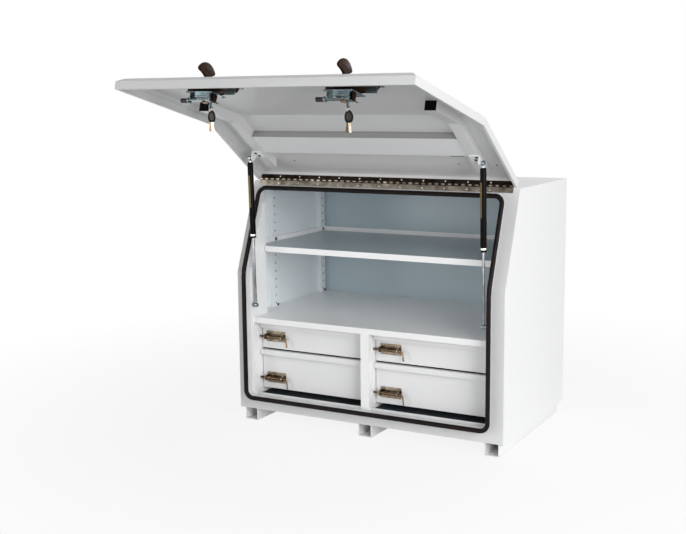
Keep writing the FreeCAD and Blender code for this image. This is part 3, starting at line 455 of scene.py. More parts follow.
class Piece:
    """One Blender piece, gathered from simple solids before it becomes a mesh."""

    def __init__(self, name: str, finish: Finish) -> None:
        """Starts an empty piece.

        Args:
            name: the piece's name.
            finish: the finish of the faces added first.
        """
        self.name = name
        self.mesh = bmesh.new()
        self.finishes = [finish]
        self.current = 0

    def use(self, finish: Finish) -> None:
        """Gives the faces added from here on another finish."""
        if finish not in self.finishes:
            self.finishes.append(finish)
        self.current = self.finishes.index(finish)

    def face(self, corners: Sequence[bmesh.types.BMVert]) -> None:
        """Adds one face in the current finish."""
        self.mesh.faces.new(corners).material_index = self.current

    def loft(self, rings: Sequence[Sequence[Vector]], around: bool = True, closed: bool = False) -> None:
        """Skins a row of rings of points.

        Args:
            rings: rings with as many points each.
            around: whether each ring is closed.
            closed: whether the last ring joins the first; open ends are capped.
        """
        rows = [[self.mesh.verts.new(point) for point in ring] for ring in rings]
        count = len(rows[0])
        pairs = list(zip(rows, rows[1:])) + ([(rows[-1], rows[0])] if closed else [])
        for here, there in pairs:
            for index in range(count if around else count - 1):
                after = (index + 1) % count
                self.face((here[index], here[after], there[after], there[index]))
        if around and not closed:
            self.face(rows[0][::-1])
            self.face(rows[-1])

    def slab(self, outline: Iterable[Vector], along: Vector) -> None:
        """Pushes a flat outline along a vector."""
        base = list(outline)
        self.loft([base, [point + along for point in base]])

    def block(self, low: Vector, high: Vector) -> None:
        """Adds a block between two corners."""
        plan = ((low.x, low.y), (high.x, low.y), (high.x, high.y), (low.x, high.y))
        self.slab([Vector((x, y, low.z)) for x, y in plan], Z_AXIS * (high.z - low.z))

    def turned(self, profile: Iterable[Sequence[float]], base: Vector, axis: Vector, sides: int = 32) -> None:
        """Turns a profile about an axis.

        Args:
            profile: radii and heights from one end to the other.
            base: where height is zero.
            axis: direction of height.
            sides: points round.
        """
        up = axis.normalized()
        side = up.orthogonal().normalized()
        ring = circle(side, up.cross(side), sides)
        self.loft([[base + up * height + way * max(radius, 1e-5) for way in ring]
                   for radius, height in profile])

    def tube(self, path: Sequence[Vector], radius: float, sides: int = 12, closed: bool = False) -> None:
        """Runs a round bar along a path.

        Args:
            path: points along its middle.
            radius: the bar's radius.
            sides: points round.
            closed: whether the path joins up.
        """
        rings = []
        count = len(path)
        side = None
        for index, point in enumerate(path):
            before = path[index - 1] if closed or index else point
            after = path[(index + 1) % count] if closed or index < count - 1 else point
            way = (after - before).normalized()
            side = way.orthogonal() if side is None else side - way * side.dot(way)
            side.normalize()
            rings.append([point + arm * radius for arm in circle(side, way.cross(side), sides)])
        self.loft(rings, closed=closed)

    def moved(self, matrix: Matrix) -> "Piece":
        """Moves everything added so far."""
        self.mesh.transform(matrix)
        return self

    def done(self, body: str | None, replaces: Iterable[str] = (), bevel: float = 0.0,
             round_under: float = 40.0) -> bpy.types.Object:
        """Makes the mesh, dresses it and lets it ride on its body.

        Args:
            body: the CAD body that it moves with, or none where it is stretched between two.
            replaces: the CAD nodes that it stands for.
            bevel: width of the rounded edges in metres.
            round_under: edges flatter than this angle are shaded round.

        Returns:
            The finished object.
        """
        bmesh.ops.recalc_face_normals(self.mesh, faces=self.mesh.faces)
        data = bpy.data.meshes.new(self.name)
        self.mesh.to_mesh(data)
        self.mesh.free()
        for finish in self.finishes:
            data.materials.append(finish.material)
        data.shade_smooth()
        data.set_sharp_from_angle(angle=math.radians(round_under))
        piece = bpy.data.objects.new(self.name, data)
        bpy.context.scene.collection.objects.link(piece)
        if bevel:
            round_edges(piece, bevel)
        if body:
            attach(piece, body)
        if replaces:
            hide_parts(*replaces)
        LOG.info("%s rides on %s", self.name, body or "two bodies")
        return piece


@dataclass
class BoxFront:
    """The cranked front of the box, and the way its closed door swings open."""

    front: float = -0.300
    bend: float = 0.535
    top: float = 0.850
    top_front: float = -0.175
    door_angle: float = 103.8

    @property
    def slope(self) -> Pair:
        """Finds the way up the slope.

        Returns:
            Its unit vector as (y, z).
        """
        run, rise = self.top_front - self.front, self.top - self.bend
        length = math.hypot(run, rise)
        return run / length, rise / length

    def face(self, height: float, offset: float) -> float:
        """Finds the front at a height.

        Args:
            height: place along Z.
            offset: distance out from the frame's face.

        Returns:
            The place along Y.
        """
        slope_y, slope_z = self.slope
        half = math.tan(math.atan2(slope_y, slope_z) / 2)
        if height <= self.bend + offset * half:
            return self.front - offset
        down = (self.top + slope_y * offset - height) / slope_z
        return self.top_front - slope_y * down - slope_z * offset

    def on_slope(self, x: float, down: float, offset: float) -> Vector:
        """A point of the closed front by its distance down the slope and its offset from the frame."""
        slope_y, slope_z = self.slope
        return Vector((x, self.top_front - slope_y * down - slope_z * offset,
                       self.top - slope_z * down + slope_y * offset))

    def opened(self) -> Matrix:
        """Works out how the door swings.

        Returns:
            The turn from the closed door to the open one.
        """
        hinge = Vector(JOINTS["door_hinge"]["pos_m"])
        turn = Matrix.Rotation(math.radians(-self.door_angle), 4, "X")
        return Matrix.Translation(hinge) @ turn @ Matrix.Translation(-hinge)


@dataclass
class SheetMetal:
    """The powder-coated sheet metal: CAD nodes with rounded folds and their coat."""

    fold: float = 0.8 * MM
    thin_fold: float = 0.6 * MM
    # Several of these coats are lit or shaded copies of the white: painted light and shade.
    finishes: dict[str, Finish] = field(default_factory=lambda: {
        "top_panel": Finish.WHITE, "side_panel_left": Finish.LEFT, "side_panel_right": Finish.RIGHT,
        "front_frame": Finish.FRONT, "skids": Finish.WHITE, "door_skin": Finish.FRONT,
        "door_side_rails": Finish.FRONT, "door_crossbar": Finish.BRACE, "back_panel": Finish.BACK,
        "floor_panel": Finish.WHITE, "side_liners": Finish.BRIGHT, "shelf_uprights": Finish.INNER,
        "adjustable_shelf": Finish.SHELF, "drawer_deck": Finish.BRIGHT, "drawer_divider": Finish.BRIGHT,
        "drawer_plinths": Finish.WHITE})

    def dress(self) -> None:
        """Coats the sheet metal and rounds its edges."""
        for name, finish in self.finishes.items():
            coat(name, finish, self.fold)
        for name in frame["nodes"]:
            if name.startswith("drawer_tray"):
                coat(name, Finish.WHITE, self.thin_fold)


@dataclass
class Hardware:
    """Small CAD nodes that keep their solids: studs, brackets, keepers, runners and caps."""

    edge: float = 0.4 * MM
    cap_edge: float = 1.0 * MM
    finishes: dict[str, Finish] = field(default_factory=lambda: {
        "strut_lower_studs": Finish.ZINC, "strut_upper_brackets": Finish.WHITE, "bolt_keepers": Finish.BRIGHT,
        "runner_rails": Finish.ZINC})

    def dress(self) -> None:
        """Gives each node its finish and rounds its edges."""
        for name, finish in self.finishes.items():
            coat(name, finish, self.edge)
        coat("rail_end_caps", Finish.PLASTIC, self.cap_edge)


@dataclass
class DoorSeal:
    """Rubber bulb seal pushed onto the lip round the opening, with its butt joint at the bottom."""

    front: BoxFront
    width: float = 17.5 * MM
    back: float = 13.2 * MM
    bulb: float = 7.3 * MM
    bulb_middle: float = 28.0 * MM
    bulb_clear: float = 0.2 * MM
    bulb_start: float = 20.0
    bulb_sweep: float = 213.0
    bulb_steps: int = 18
    lip_inset: float = 3.5 * MM
    grip: float = 4.3 * MM
    inner_leg: float = 1.4 * MM
    leg_height: float = 3.0 * MM
    neck_share: float = 0.8
    neck_drop: float = 1.5 * MM
    corner: float = 26.25 * MM
    corner_steps: int = 8
    joint: float = 0.9 * MM
    step: float = 0.03

    def profile(self) -> list[Pair]:
        """Draws the cross-section: a short inner leg over the lip, the bulb, the outer leg.

        Returns:
            Its points as (across, offset).
        """
        lip = -self.width / 2 + self.lip_inset
        inner, outer = lip - self.inner_leg, lip + self.grip
        shift = self.width / 2 - self.bulb - self.bulb_clear
        neck = self.bulb_middle - self.bulb * self.neck_share
        turns = [math.radians(self.bulb_start + self.bulb_sweep * index / self.bulb_steps)
                 for index in range(self.bulb_steps + 1)]
        bulb = [(shift - self.bulb * math.cos(turn), self.bulb_middle + self.bulb * math.sin(turn))
                for turn in turns]
        return [(inner, self.bulb_middle - self.leg_height), (inner, self.bulb_middle), *bulb,
                (outer, neck - self.neck_drop), (outer, self.back)]

    def run(self, start: Sequence[float], end: Sequence[float]) -> list[tuple[float, ...]]:
        """Steps along a straight stretch.

        Args:
            start: where it begins, as (x, z, outward x, outward z).
            end: where it ends.

        Returns:
            The points after the start, up to the end, that face the end's way.
        """
        count = max(2, int(math.dist(start[:2], end[:2]) / self.step))
        shares = [index / count for index in range(1, count + 1)]
        return [(start[0] + (end[0] - start[0]) * share, start[1] + (end[1] - start[1]) * share, *end[2:])
                for share in shares]

    def path(self) -> list[tuple[float, ...]]:
        """Walks round the seal's middle from the joint and back to it.

        Returns:
            Its points as (x, z, outward x, outward z).
        """
        low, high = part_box("door_seal")
        radius = self.corner
        side = high.x - self.width / 2 - radius
        bottom, top = low.z + self.width / 2, high.z - self.width / 2
        points = [(self.joint, bottom, 0.0, -1.0)]
        low_bend, high_bend = bottom + radius, top - radius
        corners = ((side, low_bend), (side, high_bend), (-side, high_bend), (-side, low_bend))
        for index, (x, z) in enumerate(corners):
            turns = [math.radians(90 * (index - 1 + step / self.corner_steps))
                     for step in range(self.corner_steps + 1)]
            bend = [(x + radius * math.cos(turn), z + radius * math.sin(turn), math.cos(turn), math.sin(turn))
                    for turn in turns]
            points += self.run(points[-1], bend[0]) + bend[1:]
        return points + self.run(points[-1], (-self.joint, bottom, 0.0, -1.0))

    def build(self) -> None:
        """Builds the seal."""
        rings = []
        for x, z, out_x, out_z in self.path():
            section = [(across, z + out_z * across, offset) for across, offset in self.profile()]
            rings.append([Vector((x + out_x * across, self.front.face(height, offset), height))
                          for across, height, offset in section])
        seal = Piece("seal", Finish.SEAL)
        seal.loft(rings)
        seal.done("box", ["door_seal"], round_under=50.0)


@dataclass
class PianoHinge:
    """Stainless piano hinge: the CAD leaves and pin with domed rivets on both leaves."""

    front: BoxFront
    rivets: int = 11
    radius: float = 3.0 * MM
    height: float = 1.3 * MM
    dome: Rows = ((1.0, 0.0), (1.0, 0.25), (0.86, 0.66), (0.5, 0.93), (0.0, 1.0))

    def add_rivets(self, name: str, body: str, axis: Vector) -> None:
        """Builds the domes on one leaf, on the places of the CAD rivets.

        Args:
            name: the CAD node of the rivets.
            body: the body that carries them.
            axis: the way the heads stand out.
        """
        piece = Piece(name.replace("rivets", "rivet_heads"), Finish.RIVET)
        low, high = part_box(name)
        middle = (low + high) / 2
        dome = [(self.radius * across, self.height * up) for across, up in self.dome]
        for index in range(self.rivets):
            x = low.x + self.radius + (high.x - low.x - 2 * self.radius) * index / (self.rivets - 1)
            piece.turned(dome, Vector((x, middle.y, middle.z)) - axis * self.height / 2, axis, 16)
        piece.done(body, [name], round_under=60.0)

    def build(self) -> None:
        """Builds the rivets and dresses the leaves and pin."""
        for name in ("hinge_frame_leaf", "hinge_pin"):
            coat(name, Finish.LEAF)
        # Painted shade: the door's leaf takes the near-black copy of the stainless.
        coat("hinge_door_leaf", Finish.DARK_LEAF)
        slope_y, slope_z = self.front.slope
        self.add_rivets("hinge_frame_rivets", "box", Vector((0, -slope_z, slope_y)))
        down = self.front.opened().to_3x3() @ Vector((0, -slope_y, -slope_z))
        self.add_rivets("hinge_door_rivets", "door", down)


@dataclass
class GasStrut:
    """Gas strut: chromed rod with its lower eye, black barrel with a rolled end and its upper eye."""

    side: str
    length: float = 0.5162
    barrel_start: float = 0.2390
    barrel_end: float = 0.5017
    barrel_radius: float = 10.0 * MM
    eye_half: float = 4.0 * MM
    eye: Rows = millimetres((4.1, -4), (6.8, -4), (8, -2.8), (8, 2.8), (6.8, 4), (4.1, 4))
    rod: Rows = millimetres((4, 12.8), (4, 256), (3.2, 260))
    ferrule: Rows = millimetres((3.4, 6), (3.4, 11.8), (5.2, 11.8), (5.2, 17.2), (4.1, 18.2))
    gland: Rows = millimetres((4.2, 0), (8.4, 0), (9.5, 0.6), (10, 2), (10, 6), (9.4, 6.6))
    collar: Rows = millimetres((9, 5.5), (9.8, 6.8), (9.8, 13.2), (9, 14.2))
    shell_foot: Rows = millimetres((9.1, 13), (10, 14))
    shell_top: Rows = millimetres((10, -4), (9.3, -1.6), (7.4, 0), (3.5, 0), (3.5, 6))
    nut: Rows = millimetres((5.4, 0.2), (5.4, 4.6), (4.2, 7.4))
    clip: Rows = millimetres((6.4, 0), (6.4, 1), (4.8, 2))
    band_ends: Pair = (155.0 * MM, 45.0 * MM)
    band_facing: Pair = (-0.35, -0.9)
    band_stand: float = 0.12 * MM
    band_half: int = 34

    def __post_init__(self) -> None:
        """Takes the lower pivot and the strut's direction from the joints."""
        self.foot = Vector(JOINTS[f"strut_pivot_{self.side}"]["pos_m"])
        self.way = Vector(JOINTS[f"strut_slide_{self.side}"]["axis"])

    def add_eye(self, piece: Piece, middle: Vector) -> None:
        """Adds a rounded eye across the strut."""
        ring = circle(self.way, X_AXIS.cross(self.way), 28)
        piece.loft([[middle + X_AXIS * height + way * reach for way in ring] for reach, height in self.eye],
                   closed=True)

    def add_band(self, piece: Piece) -> None:
        """Adds the plain tinted band along the barrel's front.

        Args:
            piece: the barrel.
        """
        piece.use(Finish.BAND)
        facing = Vector((self.band_facing[SIDES.index(self.side)], -1, 0))
        facing = (facing - self.way * facing.dot(self.way)).normalized()
        across = self.way.cross(facing)
        reach = self.barrel_radius + self.band_stand
        turns = [math.radians(angle) for angle in range(-self.band_half, self.band_half + 1, 4)]
        piece.loft([[self.foot + self.way * (self.barrel_end - below)
                     + (facing * math.cos(turn) + across * math.sin(turn)) * reach for turn in turns]
                    for below in self.band_ends], around=False)

    def build(self) -> None:
        """Builds the rod and the barrel."""
        foot, way = self.foot, self.way
        rod = Piece(f"strut_rod_{self.side}_chromed", Finish.CHROME)
        rod.turned(self.rod, foot, way, 28)
        rod.use(Finish.ZINC)
        rod.turned(self.ferrule, foot, way, 24)
        self.add_eye(rod, foot)
        rod.done(f"strut_rod_{self.side}", [f"strut_rod_{self.side}"])

        start, end, top = (foot + way * along for along in (self.barrel_start, self.barrel_end, self.length))
        barrel = Piece(f"strut_barrel_{self.side}_black", Finish.BARREL)
        shell = [(radius, height + self.barrel_start) for radius, height in self.shell_foot]
        shell += [(radius, height + self.barrel_end) for radius, height in self.shell_top]
        barrel.turned(shell, foot, way, 36)
        barrel.turned(self.gland, start, way, 36)
        barrel.use(Finish.RIVET)
        barrel.turned(self.collar, start, way, 36)
        barrel.use(Finish.ZINC)
        barrel.turned(self.nut, end, way, 6)
        self.add_eye(barrel, top)
        outward = X_AXIS if top.x > 0 else -X_AXIS
        barrel.turned(self.clip, top + outward * self.eye_half, outward, 20)
        self.add_band(barrel)
        barrel.done(f"strut_barrel_{self.side}", [f"strut_barrel_{self.side}"])


@dataclass
class DoorLatch:
    """Paddle latch let into the door: dish, housing, pawl with its sleeve, and paddle.

    Tables of plates are in (x, offset) or (offset, z) from the shaft, and those of turned parts in
    (radius, height).
    """

    side: str
    front: BoxFront
    rise: float = 0.150
    skin: float = 38.0 * MM
    skin_inside: float = 36.0 * MM
    pivot: float = 28.0 * MM
    dish: Pair = (75.0 * MM, 58.0 * MM)
    dish_shift: float = 24.0 * MM
    dish_floor: float = 8.0 * MM
    ramp_start: float = 58.0 * MM
    ramp_sink: float = 5.0 * MM
    flange: float = 11.0 * MM
    rim: float = 2.5 * MM
    sheet: float = 2.0 * MM
    backing: Rows = millimetres((65, 48, 13), (71, 54, 6))
    backing_sheet: float = 1.6 * MM
    plate: Triple = (46.0 * MM, 42.0 * MM, 7.0 * MM)
    plate_face: float = 6.0 * MM
    case: Rows = millimetres((26, 23, 6), (26, 23, -2.5), (24.8, 21.8, -4))
    case_corner: float = 4.0 * MM
    lock: Rows = millimetres((7, 17, -3), (7, 17, -14), (6, 16, -15.2))
    lock_place: Pair = (20.0 * MM, -5.0 * MM)
    lock_corner: float = 2.5 * MM
    cheek: Rows = millimetres((30, -17), (-5, -17), (-6.5, -14), (-6.5, 14), (-5, 17), (30, 17))
    gusset: Rows = millimetres((64, 6), (98, 6), (100, 8), (100, 34), (90, 34), (88, 30), (64, 10.5))
    plate_screws: Rows = millimetres((-37, 33), (37, 33), (-37, -33), (37, -33))
    plate_screw: Rows = millimetres((3.6, 0), (3.6, 1), (2.6, 2.1), (0, 2.4))
    case_screws: Rows = millimetres((-19, 15), (19, 15), (-19, -15), (19, -15))
    case_screw: Rows = millimetres((2.6, 0), (2.6, 1.2), (1.6, 1.9))
    key_place: Pair = (-8.0 * MM, 36.0 * MM)
    key_stand: float = -23.0 * MM
    key_pin: Rows = millimetres((1.6, 0), (1.6, 9.2), (2.3, 9.3), (1.8, 10))
    strap_half: float = 6.0 * MM
    strap_deep: float = -26.6 * MM
    leg: Rows = millimetres((30, 6), (30, -14), (40, -19), (41, -17), (32.4, -12), (32.4, 6))
    leg_half: float = 9.0 * MM
    pawl_reach: float = 87.0 * MM
    pawl_half: float = 11.0 * MM
    pawl_face: float = -8.0 * MM
    pawl_sheet: float = 4.0 * MM
    cam_rise: float = -3.0 * MM
    cam_drop: float = -11.0 * MM
    cam_round: float = 6.0 * MM
    shaft: Rows = millimetres((7, 0), (7, 28))
    shaft_end: float = 10.4 * MM
    fork: Triple = (6.5 * MM, 6.0 * MM, 5.0 * MM)
    pin: Rows = millimetres((2.5, -9), (2.5, 9))
    spacer: Rows = millimetres((10, 4.4), (10, 8))
    tongue: Rows = millimetres((4, 0), (4, 31))
    tongue_offset: float = -10.0 * MM
    nut_offset: float = -12.0 * MM
    washer: Rows = millimetres((11, 0), (11, 1.4))
    nut: Rows = millimetres((9.4, 1.4), (9.4, 5.4), (8.2, 6.3))
    stud: Rows = millimetres((4.4, 5), (4.4, 6.4), (3.8, 7))
    sleeve_length: float = 27.0 * MM
    sleeve: Rows = millimetres((4.1, 0.2), (5.4, 0), (7, 1.6), (7, 17), (6.4, 17.6), (6.4, 19.4), (7, 20),
                               (7, 26.2), (6.2, 27), (4.1, 26.8))
    paddle_length: float = 75.0 * MM
    paddle_half: float = 42.0 * MM
    paddle_thick: float = 4.5 * MM
    paddle_tilt: float = -5.0
    stem: float = 9.0 * MM
    neck: float = 0.28
    tip: float = 0.68
    stem_start: float = 0.12
    flank_bow: Pair = (1.9, 0.9)
    flank_inset: Pair = (3.0 * MM, 5.0 * MM)
    crown_share: float = 0.97
    edge_steps: int = 14
    blade_middle: float = 0.6
    cup: float = 3.0 * MM
    curl: float = 4.0 * MM
    curl_start: float = 0.4
    slim: float = 0.3
    slim_start: float = 0.35
    layers: Rows = ((3.4, -1.0), (1.2, -0.74), (0.0, -0.2), (0.0, 0.2), (1.2, 0.74), (3.4, 1.0))
    fork_cheeks: Pair = (-9.0 * MM, 5.4 * MM)
    fork_sheet: float = 3.6 * MM
    fork_length: float = 0.17
    rib: float = 4.5 * MM
    rib_radius: float = 1.7 * MM
    rib_stand: float = 1.1
    rib_splay: float = 2.2
    rib_places: tuple[float, ...] = (0.2, 0.3, 0.4, 0.5, 0.6)
    pin_ends: tuple[Rows, Rows] = (millimetres((2.9, -9.6), (2.9, -9)), millimetres((2.9, 9), (2.9, 9.6)))

    @property
    def middle_x(self) -> float:
        """The shaft's place along X."""
        return JOINTS[f"latch_turn_{self.side}"]["pos_m"][0]

    def at(self, x: float, offset: float, z: float) -> Vector:
        """A point of the closed door by its place from the shaft and its offset from the frame."""
        return Vector((self.middle_x + x, self.front.front - offset, self.rise + z))

    def plan(self, half_x: float, half_z: float, radius: float, offset: float,
             shift: Sequence[float] = (0.0, 0.0)) -> list[Vector]:
        """A rounded rectangle about the shaft, or shifted from it, at an offset from the frame."""
        outline = rounded_outline(half_x, half_z, radius)
        return [self.at(shift[0] + x, offset, shift[1] + z) for x, z in outline]

    def floor_at(self, x: float) -> float:
        """Finds the dish's floor, which ramps up to the skin past the paddle's tip.

        Args:
            x: place along X from the shaft.

        Returns:
            The floor's offset from the frame.
        """
        end = self.dish_shift + self.dish[0] - self.flange
        share = min(1.0, max(0.0, (x - self.ramp_start) / (end - self.ramp_start)))
        return self.dish_floor + (self.skin - self.ramp_sink - self.dish_floor) * share

    def add_dish(self, piece: Piece) -> None:
        """Adds the dish: rolled rim, drafted walls and a floor that ramps up at one end.

        Args:
            piece: the piece of both dishes.
        """
        flange, skin, rim = self.flange / MM, self.skin / MM, (self.skin + self.rim) / MM
        # How far in from the edge, height over the floor, offset where it isn't the floor's, corner radius
        levels = ((flange + 2.4, 0, None, 9), (flange + 0.6, 3, None, 11), (flange + 0.4, 0, skin, 12),
                  (0, 0, skin + 0.05, 14), (0, 0, skin + 1.5, 14), (1.6, 0, rim, 13),
                  (flange - 1, 0, rim, 12), (flange + 1.6, 0, skin, 11), (flange + 3, 5, None, 9),
                  (flange + 6.5, 2, None, 7))
        rings = []
        for shrink, lift, offset, radius in levels:
            half_w, half_h = (size - shrink * MM for size in self.dish)
            ring = self.plan(half_w, half_h, radius * MM, (offset or 0) * MM, (self.dish_shift, 0.0))
            if offset is None:
                for point in ring:
                    level = self.floor_at(point.x - self.middle_x) + lift * MM
                    point.y = self.front.front - min(self.skin - 1 * MM, level)
            rings.append(ring)
        piece.loft(rings)

    def add_housing(self, piece: Piece) -> None:
        """Adds the zinc housing: backing ring, case with its screws, side plates, key strap and leg.

        Args:
            piece: the piece of both housings.
        """
        piece.use(Finish.ZINC)
        inner, outer = self.backing
        inside, shift = self.skin_inside, (self.dish_shift, 0.0)
        piece.loft([self.plan(*size, inside - depth, shift) for size, depth in
                    ((inner, 0.0), (outer, 0.0), (outer, self.backing_sheet), (inner, self.backing_sheet))],
                   closed=True)
        piece.slab(self.plan(*self.plate, self.plate_face + self.sheet), Y_AXIS * self.sheet)
        piece.loft([self.plan(half_x, half_z, self.case_corner, offset)
                    for half_x, half_z, offset in self.case])
        piece.loft([self.plan(half_x, half_z, self.lock_corner, offset, self.lock_place)
                    for half_x, half_z, offset in self.lock])
        piece.slab([self.at(-self.plate[0], offset, z) for offset, z in self.cheek], X_AXIS * self.sheet)
        piece.slab([self.at(x, offset, 0) for x, offset in self.gusset], Z_AXIS * self.sheet)
        for x, z in self.plate_screws:
            piece.turned(self.plate_screw, self.at(x, self.plate_face, z), Y_AXIS, 18)
        for x, z in self.case_screws:
            piece.turned(self.case_screw, self.at(x, self.case[-1][2], z), Y_AXIS, 14)
        strap_x, pin_z = self.key_place
        half, bend = self.strap_half, self.strap_deep + self.strap_half
        nose = [(bend - half * math.sin(turn), pin_z - half * math.cos(turn))
                for turn in (math.pi * step / 8 for step in range(1, 8))]
        strap = [(half, pin_z - half), (bend, pin_z - half), *nose,
                 (bend, pin_z + half), (half, pin_z + half)]
        piece.slab([self.at(strap_x, offset, z) for offset, z in strap], X_AXIS * self.sheet)
        piece.turned(self.key_pin, self.at(strap_x, self.key_stand, pin_z), X_AXIS, 16)
        piece.use(Finish.BLACK)
        piece.slab([self.at(x, offset, -self.leg_half) for x, offset in self.leg], Z_AXIS * 2 * self.leg_half)

    def build_pawl(self) -> None:
        """Builds the shaft, pawl, nut and sleeve."""
        opened = self.front.opened()
        pawl = Piece(f"pawl_{self.side}", Finish.ZINC)
        half, root, face = self.pawl_half, self.pawl_reach - self.sleeve_length, self.pawl_face
        pawl.turned(self.shaft, self.at(0, self.shaft_end, 0), Y_AXIS, 28)
        fork_x, fork_y, fork_z = self.fork
        pawl.block(self.at(-fork_x, self.pivot + fork_y, -fork_z), self.at(fork_x, self.shaft_end, fork_z))
        pawl.turned(self.pin, self.at(0, self.pivot, 0), Z_AXIS, 16)
        pawl.turned(self.spacer, self.at(0, 0, 0), Y_AXIS, 28)
        arm = arc(self.at(0, face, 0), X_AXIS * half, Z_AXIS * half, -90, 90, 10)
        pawl.slab([*arm, self.at(-root, face, half), self.at(-root, face, -half)], Y_AXIS * self.pawl_sheet)
        cam = arc(self.at(-root, self.cam_drop, 0), Z_AXIS * half, Y_AXIS * self.cam_round, 0, 180, 12)
        cam += [self.at(-root, self.cam_rise, -half), self.at(-root, self.cam_rise, half)]
        pawl.slab(cam, X_AXIS * self.pawl_sheet)
        tip = self.at(-self.pawl_reach, self.tongue_offset, 0)
        pawl.turned(self.tongue, tip, X_AXIS, 20)
        pawl.use(Finish.GOLD)
        for profile, sides in ((self.washer, 28), (self.nut, 6), (self.stud, 20)):
            pawl.turned(profile, self.at(0, self.nut_offset, 0), Y_AXIS, sides)
        pawl.moved(opened).done(f"latch_{self.side}", [f"latch_pawl_{self.side}"], bevel=0.5 * MM)
        sleeve = Piece(f"sleeve_{self.side}", Finish.SLEEVE)
        sleeve.turned(self.sleeve, tip, X_AXIS, 28)
        sleeve.moved(opened).done(f"latch_{self.side}", [f"pawl_sleeve_{self.side}"])

    def fan_edge(self) -> list[Pair]:
        """Draws half of the paddle's edge, from the stem out to the tip and over to the crown.

        Returns:
            Its points as (across, along).
        """
        stem, half, length, steps = self.stem, self.paddle_half, self.paddle_length, self.edge_steps
        neck, tip = self.neck * length, self.tip * length
        wide, far = half - self.flank_inset[0] - stem, tip - self.flank_inset[1] - neck
        bow_out, bow_along = self.flank_bow
        flank = [(stem + wide * share ** bow_out, neck + far * share ** bow_along)
                 for share in (step / steps for step in range(steps + 1))]
        bulge = length - tip
        radius = (half ** 2 + bulge ** 2) / (2 * bulge)
        start = math.asin(half / radius) * self.crown_share
        crown = [(radius * math.sin(turn), length - radius + radius * math.cos(turn))
                 for turn in (start * (1 - step / steps) for step in range(steps))]
        return [(stem, self.stem_start * length), *flank, *crown, (0.0, length)]

    def layer(self, inset: float, lift: float) -> list[Vector]:
        """Draws one layer of the paddle's blade, about its pivot.

        Args:
            inset: how far in from the edge.
            lift: height over the blade's middle.

        Returns:
            Its points.
        """
        length, half = self.paddle_length, self.paddle_half
        middle = length * self.blade_middle
        edge = self.fan_edge()
        points = []
        for across, along in edge + [(-across, along) for across, along in edge[-2::-1]]:
            narrow = 1 - inset / max(abs(across), self.stem)
            place = middle + (along - middle) * (1 - inset / length)
            share = along / length
            curl = self.cup * (across / half) ** 2 + self.curl * max(0.0, share - self.curl_start) ** 2
            slim = 1.0 - self.slim * max(0.0, share - self.slim_start)
            points.append(Vector((lift * slim - curl, -place, across * narrow)))
        return points

    def build_paddle(self) -> None:
        """Builds the raised paddle with its forked foot and fanned blade."""
        paddle = Piece(f"paddle_{self.side}", Finish.BLACK)
        length, thick = self.paddle_length, self.paddle_thick
        paddle.loft([self.layer(inset * MM, lift * thick) for inset, lift in self.layers])
        for z in self.fork_cheeks:
            cheek = arc(Z_AXIS * z, Y_AXIS * thick, X_AXIS * thick, -90, 90, 10)
            cheek += [Vector((reach, -self.fork_length * length, z)) for reach in (thick, -thick)]
            paddle.slab(cheek, Z_AXIS * self.fork_sheet)
        for rib in (-self.rib, self.rib):
            bar = [Vector((-thick * self.rib_stand, -share * length,
                           rib + rib * self.rib_splay * (share - self.rib_places[0])))
                   for share in self.rib_places]
            paddle.tube(bar, self.rib_radius, 10)
        paddle.use(Finish.ZINC)
        for pin in self.pin_ends:
            paddle.turned(pin, Vector((0, 0, 0)), Z_AXIS, 16)
        tilt = Matrix.Rotation(math.radians(self.paddle_tilt), 4, "Z")
        paddle.moved(self.front.opened() @ Matrix.Translation(self.at(0, self.pivot, 0)) @ tilt)
        paddle.done(f"paddle_{self.side}", [f"latch_paddle_{self.side}"], bevel=0.5 * MM, round_under=55.0)


@dataclass
class LatchPair:
    """Both latches: their dishes and housings stay with the door."""

    front: BoxFront
    edge: float = 0.5 * MM

    def build(self) -> None:
        """Builds both latches."""
        dishes, housings = Piece("latch_dish_pair", Finish.BLACK), Piece("latch_housing_pair", Finish.ZINC)
        for side in SIDES:
            latch = DoorLatch(side, self.front)
            latch.add_dish(dishes)
            latch.add_housing(housings)
            latch.build_pawl()
            latch.build_paddle()
        opened = self.front.opened()
        dishes.moved(opened).done("door", ["latch_dishes"])
        housings.moved(opened).done("door", ["latch_housings"], bevel=self.edge)


